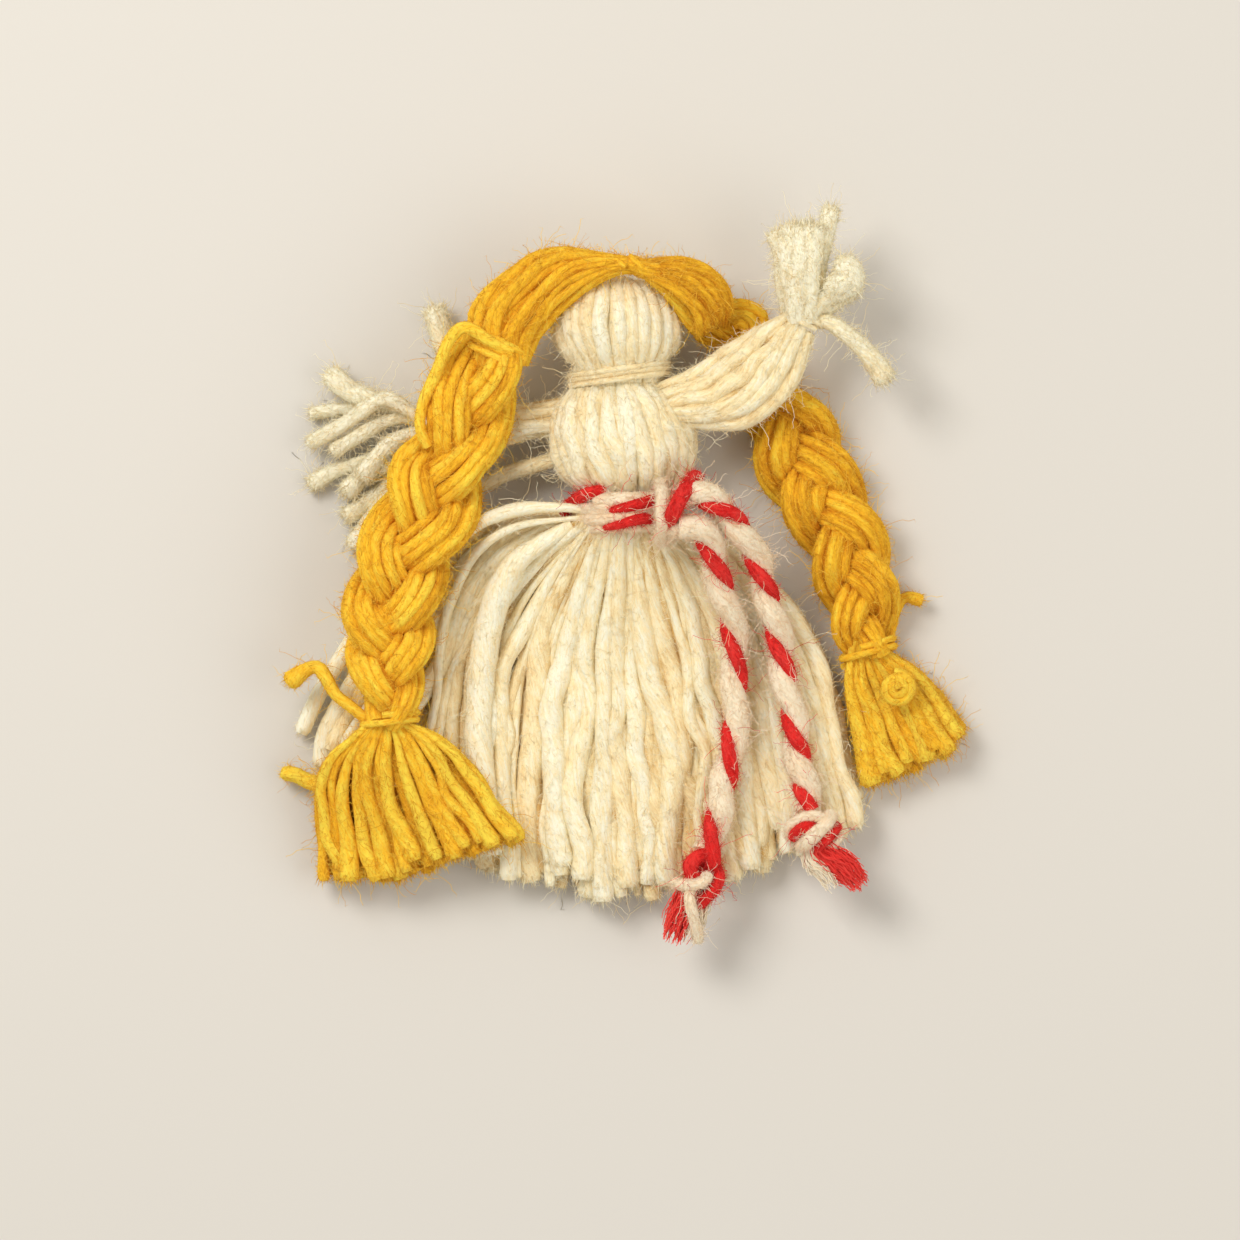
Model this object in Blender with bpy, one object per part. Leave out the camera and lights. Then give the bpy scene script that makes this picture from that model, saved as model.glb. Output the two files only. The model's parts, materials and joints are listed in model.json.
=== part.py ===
"""Yarn doll, a spring charm tied from hanks of wool, lying on its back.

A white hank is folded over and tied at the neck and waist, so that it swells into a head and a bust
and fans out into a skirt of cut ends. A second white hank makes the arms. A yellow hank is stitched
to the crown and plaited into two braids. A red and white cord is wound round the waist and knotted.

Metres. +Z points up from the surface that the doll lies on, +Y from the waist to the crown and +X to
the doll's left hand, which is on the right in a picture of its front. The origin is on the flat of
the bust's back. Left and right are the doll's own.
"""

import math
from typing import NamedTuple

import bmesh
import bpy
from mathutils import Vector

# The gap between two pieces that touch, and how deep a form is cut flat where it lies.
SEAT_GAP = 0.0003
REST_FLAT = 0.0005

# Yarn and cord, and the gap between neighbouring turns of a winding.
TIE_YARN = 0.0009
WAIST_CORD = 0.0019
TAIL_CORD = 0.0030
TURN_GAP = 0.00045
TIE_TURNS = 2
WAIST_TURNS = 1.6
TIE_START_ANGLE = 90.0
LOOP_POINTS = 24

# The body hank.
HEAD_WIDTH = 0.0160
HEAD_THICKNESS = 0.0150
HEAD_LENGTH = 0.0106
NECK_WIDTH = 0.0112
NECK_THICKNESS = 0.0096
NECK_Y = 0.0075
BODY_LEAN = 0.0010
BUST_WIDTH = 0.0182
BUST_THICKNESS = 0.0150
BUST_LENGTH = 0.0108
WAIST_WIDTH = 0.0098
WAIST_THICKNESS = 0.0090
WAIST_X = 0.0007
BODY_SIDES = 28
# Half widths along the head, from its base to the crown, and along the bust, from shoulder to waist.
HEAD_SWELL_SHARES = (
    (0.00, 0.32),
    (0.05, 0.60),
    (0.14, 0.84),
    (0.30, 0.99),
    (0.48, 0.98),
    (0.68, 0.88),
    (0.83, 0.70),
    (0.94, 0.46),
    (1.00, 0.18),
)
BUST_SWELL_SHARES = (
    (0.00, 0.76),
    (0.10, 0.87),
    (0.28, 0.96),
    (0.50, 1.00),
    (0.70, 0.98),
    (0.88, 0.88),
    (1.00, 0.70),
)

# The skirt: two layers of yarn locks that fan out below the waist.
SKIRT_LENGTH = 0.0448
SKIRT_MIDDLE_ANGLE = -99.4
SKIRT_SPREAD_ANGLE = 48.4
SKIRT_LEAVING_ANGLE = 70.0
SKIRT_LEAVING_SHARE = 0.38
SKIRT_LOCK_GAP = 0.0004
UNDER_LOCKS = 7
UPPER_LOCKS = 6
UPPER_LAYER_SHARES = (-0.66, 0.92)
UNDER_HEM_THICKNESS = 0.0026
UPPER_HEM_THICKNESS = 0.0024
SKIRT_DROP_SHARE = 0.40
SKIRT_RINGS = 8
LOCK_SIDES = 10
UNDER_LENGTH_SHARES = (0.93, 0.99, 1.0, 0.99, 0.97, 0.96, 0.95)
UPPER_LENGTH_SHARES = (0.97, 0.96, 0.99, 0.97, 0.93, 0.99)

# The arms: bellied bundles that narrow to a tied wrist and end in loose strands.
ARM_LENGTH = 0.0165
ARM_WIDTH = 0.0098
ARM_THICKNESS = 0.0052
LEFT_ARM_ROOT_Y = 0.0050
RIGHT_ARM_ROOT_Y = 0.0018
WRIST_WIDTH = 0.0044
WRIST_THICKNESS = 0.0028
SHOULDER_PIVOT_SHARE = 0.16
ARM_SIDES = 14
ARM_SWELL_SHARES = (
    (0.00, 0.24),
    (0.03, 0.42),
    (0.10, 0.66),
    (0.22, 0.86),
    (0.46, 1.00),
    (0.68, 0.92),
    (0.88, 0.66),
    (1.00, 0.47),
)
# Routes seen from above, as shares of the length of the piece that follows them, and how far each
# point has come from the height of the body's axis to the height that the piece lies at.
LEFT_ARM_SHARES = ((0.0, 0.0), (0.24, -0.01), (0.48, 0.08), (0.68, 0.26), (0.80, 0.45))
LEFT_ARM_RISE_SHARES = (0.55, 0.90, 1.0, 1.0, 1.0)
RIGHT_ARM_SHARES = ((0.0, 0.0), (-0.25, -0.02), (-0.50, 0.0), (-0.72, 0.01), (-0.88, 0.0))
RIGHT_ARM_DROP_SHARES = (0.25, 0.60, 0.92, 1.0, 1.0)
FINGER_YARN = 0.0019
FINGER_SIDES = 8
FINGER_RINGS = 6
FINGER_LENGTH = 0.0125
FINGER_END_SHARE = 0.80
# Each strand's sideways step at the wrist, its turn in degrees, its length share and its row.
LEFT_FINGERS = (
    (-1, -6.0, 0.56, 0),
    (0, 18.0, 0.85, 0),
    (1, 46.0, 0.90, 0),
    (-0.5, 8.0, 0.95, 1),
    (0.5, 33.0, 0.93, 1),
)
RIGHT_FINGERS = (
    (-1.5, -28.0, 0.96, 0),
    (-0.5, -4.0, 1.00, 0),
    (0.5, 16.0, 1.02, 0),
    (1.5, 48.0, 1.00, 0),
    (-1, -15.0, 1.02, 1),
    (0, 7.0, 1.00, 1),
    (1, 30.0, 1.02, 1),
)
TIE_END_LENGTH = 0.0095
LEFT_WRIST_END_TURN = -98.0
RIGHT_WRIST_END_TURN = -88.0

# The hair: two locks that meet at the parting, each tied at the temple.
PARTING_X = 0.0020
PARTING_Y = 0.0222
PARTING_Z = 0.0134
PARTING_WIDTH = 0.0032
PARTING_THICKNESS = 0.0028
HAIR_LENGTH = 0.0200
LEFT_HAIR_WIDTH = 0.0072
RIGHT_HAIR_WIDTH = 0.0088
HAIR_THICKNESS = 0.0062
TEMPLE_WIDTH = 0.0046
TEMPLE_THICKNESS = 0.0044
HAIR_SIDES = 14
LEFT_HAIR_SHARES = ((0.0, 0.0), (0.10, 0.0), (0.22, -0.07), (0.37, -0.20), (0.46, -0.34), (0.51, -0.45))
LEFT_HAIR_DROP_SHARES = (0.0, 0.04, 0.22, 0.56, 0.86, 1.0)
RIGHT_HAIR_SHARES = ((0.0, 0.0), (-0.26, -0.03), (-0.50, -0.18), (-0.66, -0.36), (-0.74, -0.51))
RIGHT_HAIR_DROP_SHARES = (0.0, 0.10, 0.30, 0.70, 1.0)
HAIR_SWELL_SHARES = (
    (0.00, 0.46),
    (0.12, 0.66),
    (0.35, 0.95),
    (0.55, 1.00),
    (0.75, 0.84),
    (0.90, 0.66),
    (1.00, 0.60),
)

# The braids: three locks each, plaited round a core along a route.
BRAID_WIDTH = 0.0104
BRAID_THICKNESS = 0.0076
BRAID_LENGTH = 0.0430
BRAID_TURNS = 11.0 / 6.0
BRAID_RINGS = 26
BRAID_SIDES = 8
PLAIT_SWING_SHARE = 0.58
PLAIT_LIFT_SHARE = 0.52
PLAIT_CORE_SHARE = 0.36
BRAID_END_WIDTH = 0.0056
BRAID_END_THICKNESS = 0.0040
# How wide the plait is along its length, as a share of its full width.
PLAIT_SWELL_SHARES = ((0.0, 0.10), (0.03, 0.42), (0.10, 0.74), (0.22, 0.96), (0.5, 1.0), (0.86, 0.90), (1.0, 0.62))
LEFT_BRAID_SHARES = (
    (0.0, 0.0),
    (0.050, -0.105),
    (0.116, -0.225),
    (0.186, -0.386),
    (0.256, -0.553),
    (0.300, -0.680),
    (0.308, -0.767),
)
RIGHT_BRAID_SHARES = (
    (0.0, 0.0),
    (-0.024, -0.080),
    (-0.075, -0.214),
    (-0.156, -0.384),
    (-0.226, -0.553),
    (-0.262, -0.720),
    (-0.265, -0.935),
)
BRAID_PIVOT_SHARE = 0.05

# The tassels below the braids.
TASSEL_SIDES = 16
LEFT_TASSEL_LENGTH = 0.0150
LEFT_TASSEL_WIDTH = 0.0125
LEFT_TASSEL_TURN = 18.0
RIGHT_TASSEL_LENGTH = 0.0185
RIGHT_TASSEL_WIDTH = 0.0225
RIGHT_TASSEL_TURN = 8.0
TASSEL_HEM_THICKNESS = 0.0036
TASSEL_PIVOT_SHARE = 0.14
TASSEL_SWELL_SHARES = (
    (0.00, 0.06),
    (0.04, 0.15),
    (0.12, 0.25),
    (0.40, 0.54),
    (0.75, 0.86),
    (1.00, 1.00),
)
TASSEL_HEIGHT_SHARES = ((0.0, 0.30), (0.04, 0.70), (0.12, 1.0), (1.0, 1.0))
LEFT_BRAID_END_TURN = 100.0
RIGHT_BRAID_END_TURN = -122.0

# The waist cord's first turn and its knot, and its tails' knots and frayed ends.
WAIST_START_ANGLE = 60.0
KNOT_X = 0.0046
KNOT_ANGLE = 90.0
KNOT_LENGTH = 0.0068
KNOT_WIDTH = 0.0040
KNOT_THICKNESS = 0.0030
KNOT_SWELL_SHARES = ((0.0, 0.45), (0.12, 0.78), (0.35, 1.0), (0.65, 1.0), (0.88, 0.78), (1.0, 0.45))
KNOT_SIDES = 12
END_KNOT_LENGTH = 0.0040
END_KNOT_WIDTH = 0.0043
END_KNOT_SWELL_SHARES = ((0.0, 0.62), (0.2, 0.90), (0.5, 1.0), (0.8, 0.90), (1.0, 0.62))
TUFT_LENGTH = 0.0082
TUFT_WIDTH = 0.0048
TUFT_SWELL_SHARES = ((0.0, 0.42), (0.3, 0.72), (0.65, 1.0), (0.9, 0.9), (1.0, 0.55))
LEFT_TUFT_TURN = 30.0
RIGHT_TUFT_TURN = -2.0
# The tails' own routes over the skirt, from the waist knot to the end knots.
LEFT_TAIL_ROUTE = (
    (0.0069, -0.0067, 0.0156),
    (0.0103, -0.0072, 0.0152),
    (0.0141, -0.0104, 0.0130),
    (0.0172, -0.0172, 0.0098),
    (0.0192, -0.0258, 0.0076),
    (0.0208, -0.0345, 0.0072),
    (0.0221, -0.0418, 0.0072),
    (0.0227, -0.0450, 0.0075),
)
RIGHT_TAIL_ROUTE = (
    (0.0069, -0.0103, 0.0156),
    (0.0098, -0.0115, 0.0148),
    (0.0120, -0.0172, 0.0114),
    (0.0135, -0.0240, 0.0085),
    (0.0138, -0.0310, 0.0074),
    (0.0131, -0.0385, 0.0072),
    (0.0115, -0.0455, 0.0072),
    (0.0103, -0.0500, 0.0075),
)
TAIL_POINTS = 18

# Material name, colour as linear red, green and blue, and roughness.
WHITE_WOOL = ("undyed_wool", (0.86, 0.78, 0.58), 0.95)
YELLOW_WOOL = ("yellow_wool", (0.84, 0.46, 0.02), 0.95)
RED_WHITE_CORD = ("red_white_cord", (0.80, 0.28, 0.24), 0.9)

UP = Vector((0, 0, 1))
MM = 1000
SHARP_ANGLE = math.radians(50)


def clear_scene():
    """Starts from an empty scene."""
    for old in list(bpy.data.objects):
        bpy.data.objects.remove(old, do_unlink=True)


def material(finish):
    """The named wool, made once."""
    name, colour, roughness = finish
    found = bpy.data.materials.get(name)
    if found:
        return found
    made = bpy.data.materials.new(name)
    made.use_nodes = True
    shader = made.node_tree.nodes["Principled BSDF"]
    shader.inputs["Base Color"].default_value = (*colour, 1)
    shader.inputs["Roughness"].default_value = roughness
    shader.inputs["Metallic"].default_value = 0
    return made


def table_value(rows, share):
    """Reads a table of (share, value) rows, straight between them."""
    for (low, first), (high, second) in zip(rows, rows[1:]):
        if share <= high:
            return first + (second - first) * (share - low) / (high - low)
    return rows[-1][1]


def turned(direction, degrees):
    """A direction turned about +Z."""
    angle = math.radians(degrees)
    x = direction.x * math.cos(angle) - direction.y * math.sin(angle)
    y = direction.x * math.sin(angle) + direction.y * math.cos(angle)
    return Vector((x, y, direction.z))


def heading(degrees):
    """The level direction at an angle from +X."""
    return turned(Vector((1, 0, 0)), degrees)


class Route:
    """A smooth line through chosen points, read by its share of the whole length."""

    STEPS = 16

    def __init__(self, points):
        points = [Vector(p) for p in points]
        ends = [2 * points[0] - points[1], *points, 2 * points[-1] - points[-2]]
        self.fine = []
        for a, b, c, d in zip(ends, ends[1:], ends[2:], ends[3:]):
            for step in range(self.STEPS):
                t = step / self.STEPS
                bend = (2 * a - 5 * b + 4 * c - d) * t * t + (3 * b - 3 * c + d - a) * t ** 3
                self.fine.append((2 * b + (c - a) * t + bend) / 2)
        self.fine.append(points[-1])
        self.along = [0.0]
        for a, b in zip(self.fine, self.fine[1:]):
            self.along.append(self.along[-1] + (b - a).length)

    @property
    def length(self):
        return self.along[-1]

    def point(self, share):
        goal = min(max(share, 0), 1) * self.length
        for i in range(1, len(self.along)):
            if self.along[i] >= goal:
                part = (goal - self.along[i - 1]) / (self.along[i] - self.along[i - 1])
                return self.fine[i - 1].lerp(self.fine[i], part)
        return self.fine[-1].copy()

    def direction(self, share):
        step = 0.01
        return (self.point(share + step) - self.point(share - step)).normalized()

    def side(self, share):
        """The level direction across the route."""
        return self.direction(share).cross(UP).normalized()


def placed(start, shares, length, heights):
    """Route points from a table of shares, with a height for each."""
    return [Vector((start.x + x * length, start.y + y * length, z)) for (x, y), z in zip(shares, heights)]


def between(low, high, shares):
    """Heights on the way from one height to another."""
    return [low + (high - low) * share for share in shares]


class Station(NamedTuple):
    """One section of a bundle: its centre, its half sizes and, if given, the direction of its width."""

    centre: Vector
    half_width: float
    half_height: float
    side: Vector = None


def section_side(stations, index):
    """The level direction across a bundle at one of its sections."""
    if stations[index].side:
        return stations[index].side
    before = stations[max(index - 1, 0)].centre
    after = stations[min(index + 1, len(stations) - 1)].centre
    return (after - before).cross(UP).normalized()


def show(name, mesh, finish, parent=None):
    """Adds a mesh to the scene as a named piece, shaded smooth."""
    mesh.shade_smooth()
    mesh.set_sharp_from_angle(angle=SHARP_ANGLE)
    piece = bpy.data.objects.new(name, mesh)
    bpy.context.scene.collection.objects.link(piece)
    piece.data.materials.append(material(finish))
    hang(piece, parent)
    return piece


def hang(piece, parent):
    """Hangs a piece from its joint's pivot, where it stands."""
    if parent:
        piece.parent = parent
        piece.matrix_parent_inverse = parent.matrix_world.inverted()


def guide(name, mesh):
    """Adds a mesh that only shapes another piece."""
    tool = bpy.data.objects.new(name, mesh)
    bpy.context.scene.collection.objects.link(tool)
    tool.hide_render = True
    tool.display_type = "WIRE"
    return tool


def bundle_mesh(name, stations, sides, on_floor=False):
    """A closed form through upright elliptical sections, flat where it would reach below the floor."""
    form = bmesh.new()
    rings = []
    for index, station in enumerate(stations):
        side = section_side(stations, index)
        ring = []
        for k in range(sides):
            angle = 2 * math.pi * (k + 0.5) / sides
            point = station.centre + side * station.half_width * math.cos(angle)
            point += UP * station.half_height * math.sin(angle)
            if on_floor:
                point.z = max(point.z, 0)
            ring.append(form.verts.new(point))
        rings.append(ring)
    for low, high in zip(rings, rings[1:]):
        for k in range(sides):
            following = (k + 1) % sides
            form.faces.new((low[k], low[following], high[following], high[k]))
    form.faces.new(rings[0])
    form.faces.new(rings[-1])
    bmesh.ops.recalc_face_normals(form, faces=form.faces)
    mesh = bpy.data.meshes.new(name)
    form.to_mesh(mesh)
    form.free()
    return mesh


def bundle(name, stations, sides, finish, parent=None, on_floor=False):
    """A bundle of yarn as one swelling and tapering solid."""
    return show(name, bundle_mesh(name, stations, sides, on_floor), finish, parent)


def swollen(route, swell_shares, width, thickness, heights=None):
    """Sections along a route, whose width follows a table and whose height follows it or another."""
    rows = []
    for share, swell in swell_shares:
        height = table_value(heights, share) if heights else swell ** 0.5
        rows.append(Station(route.point(share), swell * width / 2, height * thickness / 2))
    return rows


def grown(stations, gap):
    """The same sections, larger all round by a gap."""
    first, last = stations[0], stations[-1]
    backward = (first.centre - stations[1].centre).normalized() * gap
    forward = (last.centre - stations[-2].centre).normalized() * gap
    middle = [s._replace(half_width=s.half_width + gap, half_height=s.half_height + gap) for s in stations]
    return [
        middle[0]._replace(centre=first.centre + backward),
        *middle,
        middle[-1]._replace(centre=last.centre + forward),
    ]


def boolean(piece, operation, tool):
    """Adds a cut or a union by another mesh."""
    modifier = piece.modifiers.new(tool.name, "BOOLEAN")
    modifier.object = tool
    modifier.operation = operation
    modifier.solver = "EXACT"


def cut_back(piece, stations, sides):
    """Cuts a piece back from its larger neighbour, by the seat gap."""
    name = piece.name + "_cutter"
    boolean(piece, "DIFFERENCE", guide(name, bundle_mesh(name, grown(stations, SEAT_GAP), sides)))


def yarn_tube(name, points, diameter, finish, parent=None, resolution=1):
    """A round yarn or cord along a run of points."""
    line = bpy.data.curves.new(name, "CURVE")
    line.dimensions = "3D"
    line.bevel_depth = diameter / 2
    line.bevel_resolution = resolution
    line.use_fill_caps = True
    spline = line.splines.new("POLY")
    spline.points.add(len(points) - 1)
    for place, point in zip(spline.points, points):
        place.co = (*point, 1)
    spline.use_smooth = True
    piece = bpy.data.objects.new(name, line)
    bpy.context.scene.collection.objects.link(piece)
    line.materials.append(material(finish))
    hang(piece, parent)
    return piece


def band_length(yarn, turns):
    """How long a winding is along the bundle that it ties."""
    return yarn + turns * (yarn + TURN_GAP)


def winding(name, core, along, yarn, turns, finish, parent=None, start=TIE_START_ANGLE):
    """Turns of yarn round a core, as one unbroken helix whose inside clears the core by the seat gap."""
    side = along.cross(UP).normalized()
    over = side.cross(along).normalized()
    wide = core.half_width + SEAT_GAP + yarn / 2
    high = core.half_height + SEAT_GAP + yarn / 2
    pitch = yarn + TURN_GAP
    points = []
    for i in range(round(LOOP_POINTS * turns) + 1):
        angle = math.radians(start) + 2 * math.pi * i / LOOP_POINTS
        forward = pitch * (i / LOOP_POINTS - turns / 2)
        around = side * wide * math.cos(angle) + over * high * math.sin(angle)
        points.append(core.centre + along * forward + around)
    apart = LOOP_POINTS // 2
    least = min((a - b).length for i, a in enumerate(points) for b in points[i + apart:])
    print(f"{name}: least gap to itself {(least - yarn) * MM:.2f} mm")
    return yarn_tube(name, points, yarn, finish, parent)


def pivot(name, place, parent=None):
    """An empty on a joint's axis, which the moving pieces hang from."""
    empty = bpy.data.objects.new(name, None)
    empty.location = place
    bpy.context.scene.collection.objects.link(empty)
    bpy.context.view_layer.update()
    hang(empty, parent)
    print(f"{name}: {place.x:.5f} {place.y:.5f} {place.z:.5f}")
    return empty


def strand(name, start, ahead, away, length, finish, parent, on_floor=False):
    """One loose strand that leaves in one direction and bends into another."""
    rows = []
    for ring in range(FINGER_RINGS):
        share = ring / (FINGER_RINGS - 1)
        swell = FINGER_END_SHARE + (1 - FINGER_END_SHARE) * math.sin(math.pi * share)
        way = (ahead * (1 - share) + away * share).normalized()
        half = swell * FINGER_YARN / 2
        rows.append(Station(start + way * share * length, half, half))
    return bundle(name, rows, FINGER_SIDES, finish, parent, on_floor)


AXIS_Z = BUST_THICKNESS / 2 - REST_FLAT
TIE_BAND = band_length(TIE_YARN, TIE_TURNS)
WAIST_BAND = band_length(WAIST_CORD, WAIST_TURNS)
NECK_TOP = NECK_Y + TIE_BAND / 2 + SEAT_GAP
SHOULDER_Y = NECK_Y - TIE_BAND / 2 - SEAT_GAP
WAIST_TOP = SHOULDER_Y - BUST_LENGTH
WAIST_Y = WAIST_TOP - SEAT_GAP - WAIST_BAND / 2
WAIST_BOTTOM = WAIST_Y - WAIST_BAND / 2 - SEAT_GAP
HEAD_BASE = NECK_TOP + SEAT_GAP
# The right wrist's middle line and the upper side of its tie, which clears the surface.
WRIST_HEIGHT = WRIST_THICKNESS / 2 + SEAT_GAP + TIE_YARN + SEAT_GAP
WRIST_TOP = WRIST_HEIGHT + WRIST_THICKNESS / 2 + SEAT_GAP + TIE_YARN
CROWN_Y = HEAD_BASE + HEAD_LENGTH


def body_x(y):
    """The body's axis leans from the head to the waist."""
    share = (CROWN_Y - y) / (CROWN_Y - WAIST_BOTTOM)
    return -BODY_LEAN + (BODY_LEAN + WAIST_X) * share


def body_station(y, swell, width, thickness):
    """A section of the body hank, square to +Y."""
    return Station(Vector((body_x(y), y, AXIS_Z)), swell * width / 2, swell * thickness / 2, heading(0))


def head_stations():
    """The head, from its base on the neck to the crown."""
    return [
        body_station(HEAD_BASE + share * HEAD_LENGTH, swell, HEAD_WIDTH, HEAD_THICKNESS)
        for share, swell in HEAD_SWELL_SHARES
    ]


def bust_stations():
    """The throat inside the neck tie, the bust, and the waist inside the cord, in one piece."""
    throat = [body_station(y, 1, NECK_WIDTH, NECK_THICKNESS) for y in (NECK_TOP, SHOULDER_Y + SEAT_GAP)]
    chest = [
        body_station(SHOULDER_Y - share * BUST_LENGTH, swell, BUST_WIDTH, BUST_THICKNESS)
        for share, swell in BUST_SWELL_SHARES
    ]
    waist = [
        body_station(y, 1, WAIST_WIDTH, WAIST_THICKNESS) for y in (WAIST_TOP - SEAT_GAP, WAIST_BOTTOM)
    ]
    return [*throat, *chest, *waist]


def bust_half_width(z):
    """How far the bust reaches to each side at a height, where it is widest."""
    rise = (z - AXIS_Z) / (BUST_THICKNESS / 2)
    return BUST_WIDTH / 2 * math.sqrt(1 - rise ** 2)


def make_bust():
    """The bust, which everything hangs from, and the neck tie."""
    bundle("bust", bust_stations(), BODY_SIDES, WHITE_WOOL, on_floor=True)
    neck = body_station(NECK_Y, 1, NECK_WIDTH, NECK_THICKNESS)
    winding("neck_tie", neck, -heading(90), TIE_YARN, TIE_TURNS, WHITE_WOOL)


def skirt_point(across_share, along_share, length_share):
    """A point of the fan of curves that the skirt's strands follow, seen from above."""
    waist = Vector((body_x(WAIST_BOTTOM), WAIST_BOTTOM - SEAT_GAP, 0))
    start = waist + heading(0) * across_share * WAIST_WIDTH / 2
    leaving = heading(SKIRT_MIDDLE_ANGLE + SKIRT_LEAVING_ANGLE * across_share)
    ending = heading(SKIRT_MIDDLE_ANGLE + SKIRT_SPREAD_ANGLE * across_share)
    bend = start + leaving * SKIRT_LEAVING_SHARE * SKIRT_LENGTH
    hem = waist + ending * SKIRT_LENGTH
    t = along_share * length_share
    return start * (1 - t) ** 2 + bend * 2 * t * (1 - t) + hem * t ** 2


def layer_heights(along_share):
    """Where the skirt's layers lie at a share of its length: under side, seam and upper side."""
    waist_layer = (WAIST_THICKNESS - SEAT_GAP) / 2
    drop = min(1, along_share / SKIRT_DROP_SHARE)
    low = (AXIS_Z - WAIST_THICKNESS / 2) * (1 - drop) ** 2
    seam = low + waist_layer + (UNDER_HEM_THICKNESS - waist_layer) * drop
    top = seam + SEAT_GAP + waist_layer + (UPPER_HEM_THICKNESS - waist_layer) * drop
    return low - REST_FLAT * drop, seam, top


def skirt_lock_stations(low_share, high_share, length_share, upper):
    """One lock between two curves of the fan, in the under or the upper layer."""
    rows = []
    for ring in range(SKIRT_RINGS):
        along_share = ring / (SKIRT_RINGS - 1)
        low = skirt_point(low_share, along_share, length_share)
        high = skirt_point(high_share, along_share, length_share)
        bottom, seam, top = layer_heights(along_share)
        bottom, top = (seam + SEAT_GAP, top) if upper else (bottom, seam)
        centre = (low + high) / 2
        centre.z = (bottom + top) / 2
        half_width = ((high - low).length - SKIRT_LOCK_GAP) / 2
        rows.append(Station(centre, half_width, (top - bottom) / 2, (high - low).normalized()))
    return rows


def make_skirt():
    """The locks of both layers, side by side from the doll's right to its left."""
    layers = (
        ("under", UNDER_LOCKS, (-1.0, 1.0), UNDER_LENGTH_SHARES),
        ("upper", UPPER_LOCKS, UPPER_LAYER_SHARES, UPPER_LENGTH_SHARES),
    )
    for layer, count, (first, last), lengths in layers:
        step = (last - first) / count
        for k in range(count):
            low_share = first + k * step
            stations = skirt_lock_stations(low_share, low_share + step, lengths[k], layer == "upper")
            name = f"skirt_{layer}_lock_{k + 1}"
            bundle(name, stations, LOCK_SIDES, WHITE_WOOL, on_floor=layer == "under")


def arm_route(side):
    """The arm's middle line, from its domed root beside the bust to the wrist. The left arm passes
    over its braid. The right one lies on the surface, under the other braid."""
    if side == "left":
        lies_at = BRAID_THICKNESS - REST_FLAT + SEAT_GAP + ARM_THICKNESS / 2
        root_y, shares, rise_shares = LEFT_ARM_ROOT_Y, LEFT_ARM_SHARES, LEFT_ARM_RISE_SHARES
    else:
        lies_at = WRIST_HEIGHT
        root_y, shares, rise_shares = RIGHT_ARM_ROOT_Y, RIGHT_ARM_SHARES, RIGHT_ARM_DROP_SHARES
    heights = between(AXIS_Z, lies_at, rise_shares)
    sign = 1 if side == "left" else -1
    reach = bust_half_width(heights[0]) + SEAT_GAP
    return Route(placed(Vector((body_x(root_y) + sign * reach, root_y, 0)), shares, ARM_LENGTH, heights))


def through_tie(route, width, thickness):
    """The narrow end of a bundle, which runs straight on through its tie."""
    end, ahead = route.point(1), route.direction(1)
    ahead.z = 0
    ahead.normalize()
    places = (end + ahead * SEAT_GAP, end + ahead * (SEAT_GAP + TIE_BAND + SEAT_GAP))
    return [Station(place, width / 2, thickness / 2) for place in places], ahead


def make_tie(name, neck, ahead, finish, parent):
    """The winding round a bundle's narrow end."""
    middle = neck[0]._replace(centre=(neck[0].centre + neck[1].centre) / 2)
    winding(name, middle, ahead, TIE_YARN, TIE_TURNS, finish, parent)
    return middle


def make_tie_end(name, middle, ahead, turn, finish, parent):
    """The loose end of a tie, which leaves it sideways."""
    away = turned(ahead, turn)
    start = middle.centre + away * (middle.half_width + SEAT_GAP + TIE_YARN + SEAT_GAP)
    strand(name, start, away, away, TIE_END_LENGTH, finish, parent)


def make_arm(side):
    """A sleeve, its wrist tie with one loose end, and the strands of the hand."""
    route = arm_route(side)
    shoulder = pivot(side + "_shoulder", route.point(SHOULDER_PIVOT_SHARE))
    sleeve = swollen(route, ARM_SWELL_SHARES, ARM_WIDTH, ARM_THICKNESS)
    neck, ahead = through_tie(route, WRIST_WIDTH, WRIST_THICKNESS)
    on_floor = side == "right"
    bundle(side + "_arm", [*sleeve, *neck], ARM_SIDES, WHITE_WOOL, shoulder, on_floor)
    middle = make_tie(side + "_wrist_tie", neck, ahead, WHITE_WOOL, shoulder)
    turn = LEFT_WRIST_END_TURN if side == "left" else RIGHT_WRIST_END_TURN
    make_tie_end(side + "_wrist_tie_end", middle, ahead, turn, WHITE_WOOL, shoulder)
    make_hand(side, neck[1].centre, ahead, shoulder)


def make_hand(side, palm, ahead, parent):
    """Loose strands in two rows, which spread from the wrist."""
    step = FINGER_YARN + SEAT_GAP
    across_hand = UP.cross(ahead).normalized()
    fingers = LEFT_FINGERS if side == "left" else RIGHT_FINGERS
    for number, (place, turn, length_share, row) in enumerate(fingers, 1):
        start = palm + ahead * SEAT_GAP + across_hand * place * step
        start.z = palm.z + (row - 1 / 2) * step
        name = f"{side}_hand_strand_{number}"
        length = length_share * FINGER_LENGTH
        strand(name, start, ahead, turned(ahead, turn), length, WHITE_WOOL, parent)


def temple_height(side):
    """The height of a temple tie's middle line: the left one lies on the surface."""
    if side == "left":
        return TEMPLE_THICKNESS / 2 + SEAT_GAP + TIE_YARN + SEAT_GAP
    return braid_height(side)


def braid_height(side):
    """The left braid lies on the surface, and the right one over the wrist tie and the skirt."""
    if side == "left":
        return BRAID_THICKNESS / 2 - REST_FLAT
    return max(WRIST_TOP, layer_heights(1)[2]) + SEAT_GAP + BRAID_THICKNESS / 2


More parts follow.
